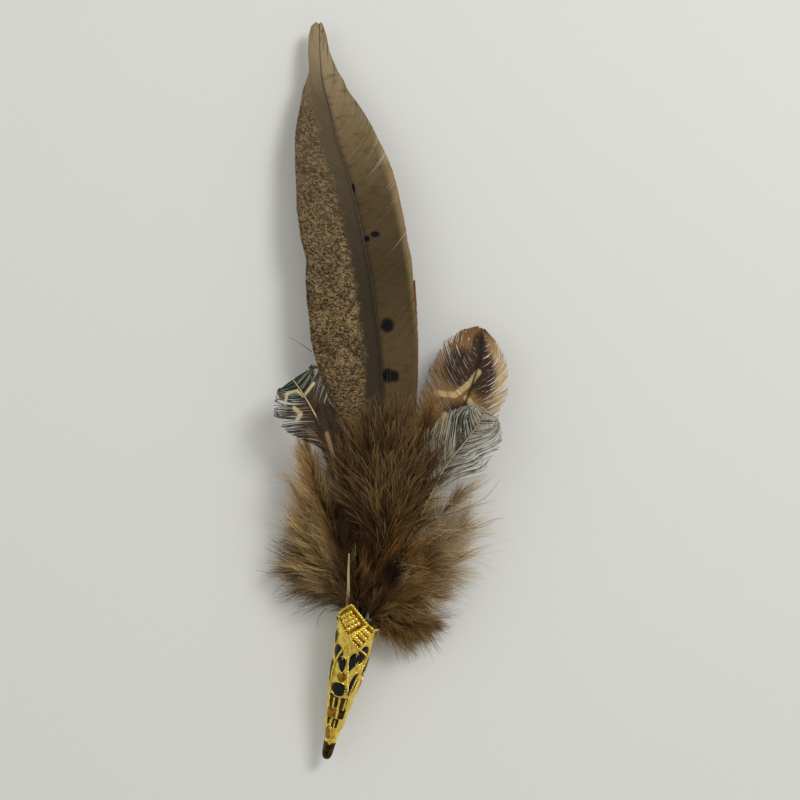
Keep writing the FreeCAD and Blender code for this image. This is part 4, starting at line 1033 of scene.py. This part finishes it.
for height in np.linspace(24.5, 30.5, 7):
    spot = on_cone(np.array(height), np.array(degrees_at(height, 0.9)), np.array(0.2))
    bmesh.ops.create_icosphere(dots, subdivisions=2, radius=0.33, matrix=Matrix.Translation(Vector(spot)))
shaped("rib_dots", dots, already_laid, GILT, "gilt")

# ---------------------------------------------------------------------------------------------
# The brooch behind, and the glue in the holder's mouth
# ---------------------------------------------------------------------------------------------
def metal(name, colour, roughness, scale=1.2):
    finish = Finish(name, roughness, metallic=1.0)
    where, _ = finish.place()
    finish.feed(finish.shader.inputs["Roughness"],
                finish.math("MULTIPLY_ADD", finish.noise(where, scale, 3.0), 0.2, roughness - 0.1))
    dull = tuple(int(0.84 * part) for part in colour)
    return finish.colour(finish.mix(finish.noise(where, 0.4, 2.0), colour, dull))


STEEL = metal("nickel_steel", (214, 210, 202), 0.28)
SOLDER = metal("grey_solder", (150, 148, 144), 0.5)
GLUE = clouded_finish("amber_glue", 0.3, (150, 112, 58), (182, 148, 92), 0.7, coat=0.3)
CARRIED = {"brooch_bar": (STEEL, "steel"), "hinge_bracket": (STEEL, "steel"),
           "hinge_rivet": (STEEL, "steel"), "pin_stem": (STEEL, "steel"), "catch_ring": (STEEL, "steel"),
           "catch_barrel": (STEEL, "steel"), "solder_saddle": (SOLDER, "solder"),
           "glue_plug": (GLUE, "glue")}
for node, (finish, slot_name) in CARRIED.items():
    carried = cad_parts[node]
    carried.data.materials.clear()
    carried.data.materials.append(finish)

# ---------------------------------------------------------------------------------------------
# Table, light and camera
# ---------------------------------------------------------------------------------------------
def level_sheet(name, half_size, centre, material):
    """A flat square of the room, which isn't part of the object."""
    shape = bmesh.new()
    bmesh.ops.create_grid(shape, x_segments=1, y_segments=1, size=half_size)
    bmesh.ops.translate(shape, verts=shape.verts, vec=centre)
    mesh = bpy.data.meshes.new(name)
    shape.to_mesh(mesh)
    shape.free()
    mesh.materials.append(material)
    sheet = bpy.data.objects.new(name, mesh)
    bpy.context.scene.collection.objects.link(sheet)
    return sheet


PAPER = clouded_finish("pale_table", 0.7, (226, 226, 221), (229, 229, 225), 0.004, specular=0.2)
table_top = level_sheet("table_top", 1.6, (0.0, 0.0, 0.0), PAPER)


def area_light(name, power, size, place, aim=(0.0, 0.0, 0.0)):
    lamp = bpy.data.lights.new(name, "AREA")
    lamp.energy = power
    lamp.size = size
    holder = bpy.data.objects.new(name, lamp)
    bpy.context.scene.collection.objects.link(holder)
    holder.location = place
    holder.rotation_euler = (Vector(aim) - Vector(place)).to_track_quat("-Z", "Y").to_euler()
    return lamp


area_light("key_light", 6.6, 0.4, (0.6, 0.55, 0.9))
area_light("fill_light", 1.4, 0.9, (-0.8, 0.3, 0.9))

# a card that is seen only in reflections
CARD_BROWN = clouded_finish("dark_card", 1.0, (54, 44, 28), (70, 58, 38), 0.01, detail=3.0, specular=0.0)
card = level_sheet("dark_card", 0.28, (0.0, -0.1, 0.7), CARD_BROWN)
card.visible_camera = card.visible_diffuse = card.visible_shadow = card.visible_transmission = False

world = bpy.data.worlds.new("pale_room")
world.use_nodes = True
world.node_tree.nodes["Background"].inputs["Color"].default_value = (1.0, 0.99, 0.97, 1.0)
world.node_tree.nodes["Background"].inputs["Strength"].default_value = 0.48
bpy.context.scene.world = world
bpy.context.scene.view_settings.view_transform = "Standard"

lens = bpy.data.cameras.new("overhead")
lens.lens = 85.0
lens.sensor_width = 36.0
lens.clip_start = 0.01
lens.clip_end = 20.0
camera = bpy.data.objects.new("overhead", lens)
bpy.context.scene.collection.objects.link(camera)
camera.location = (0.0052, -0.0029, 0.64)
bpy.context.scene.camera = camera
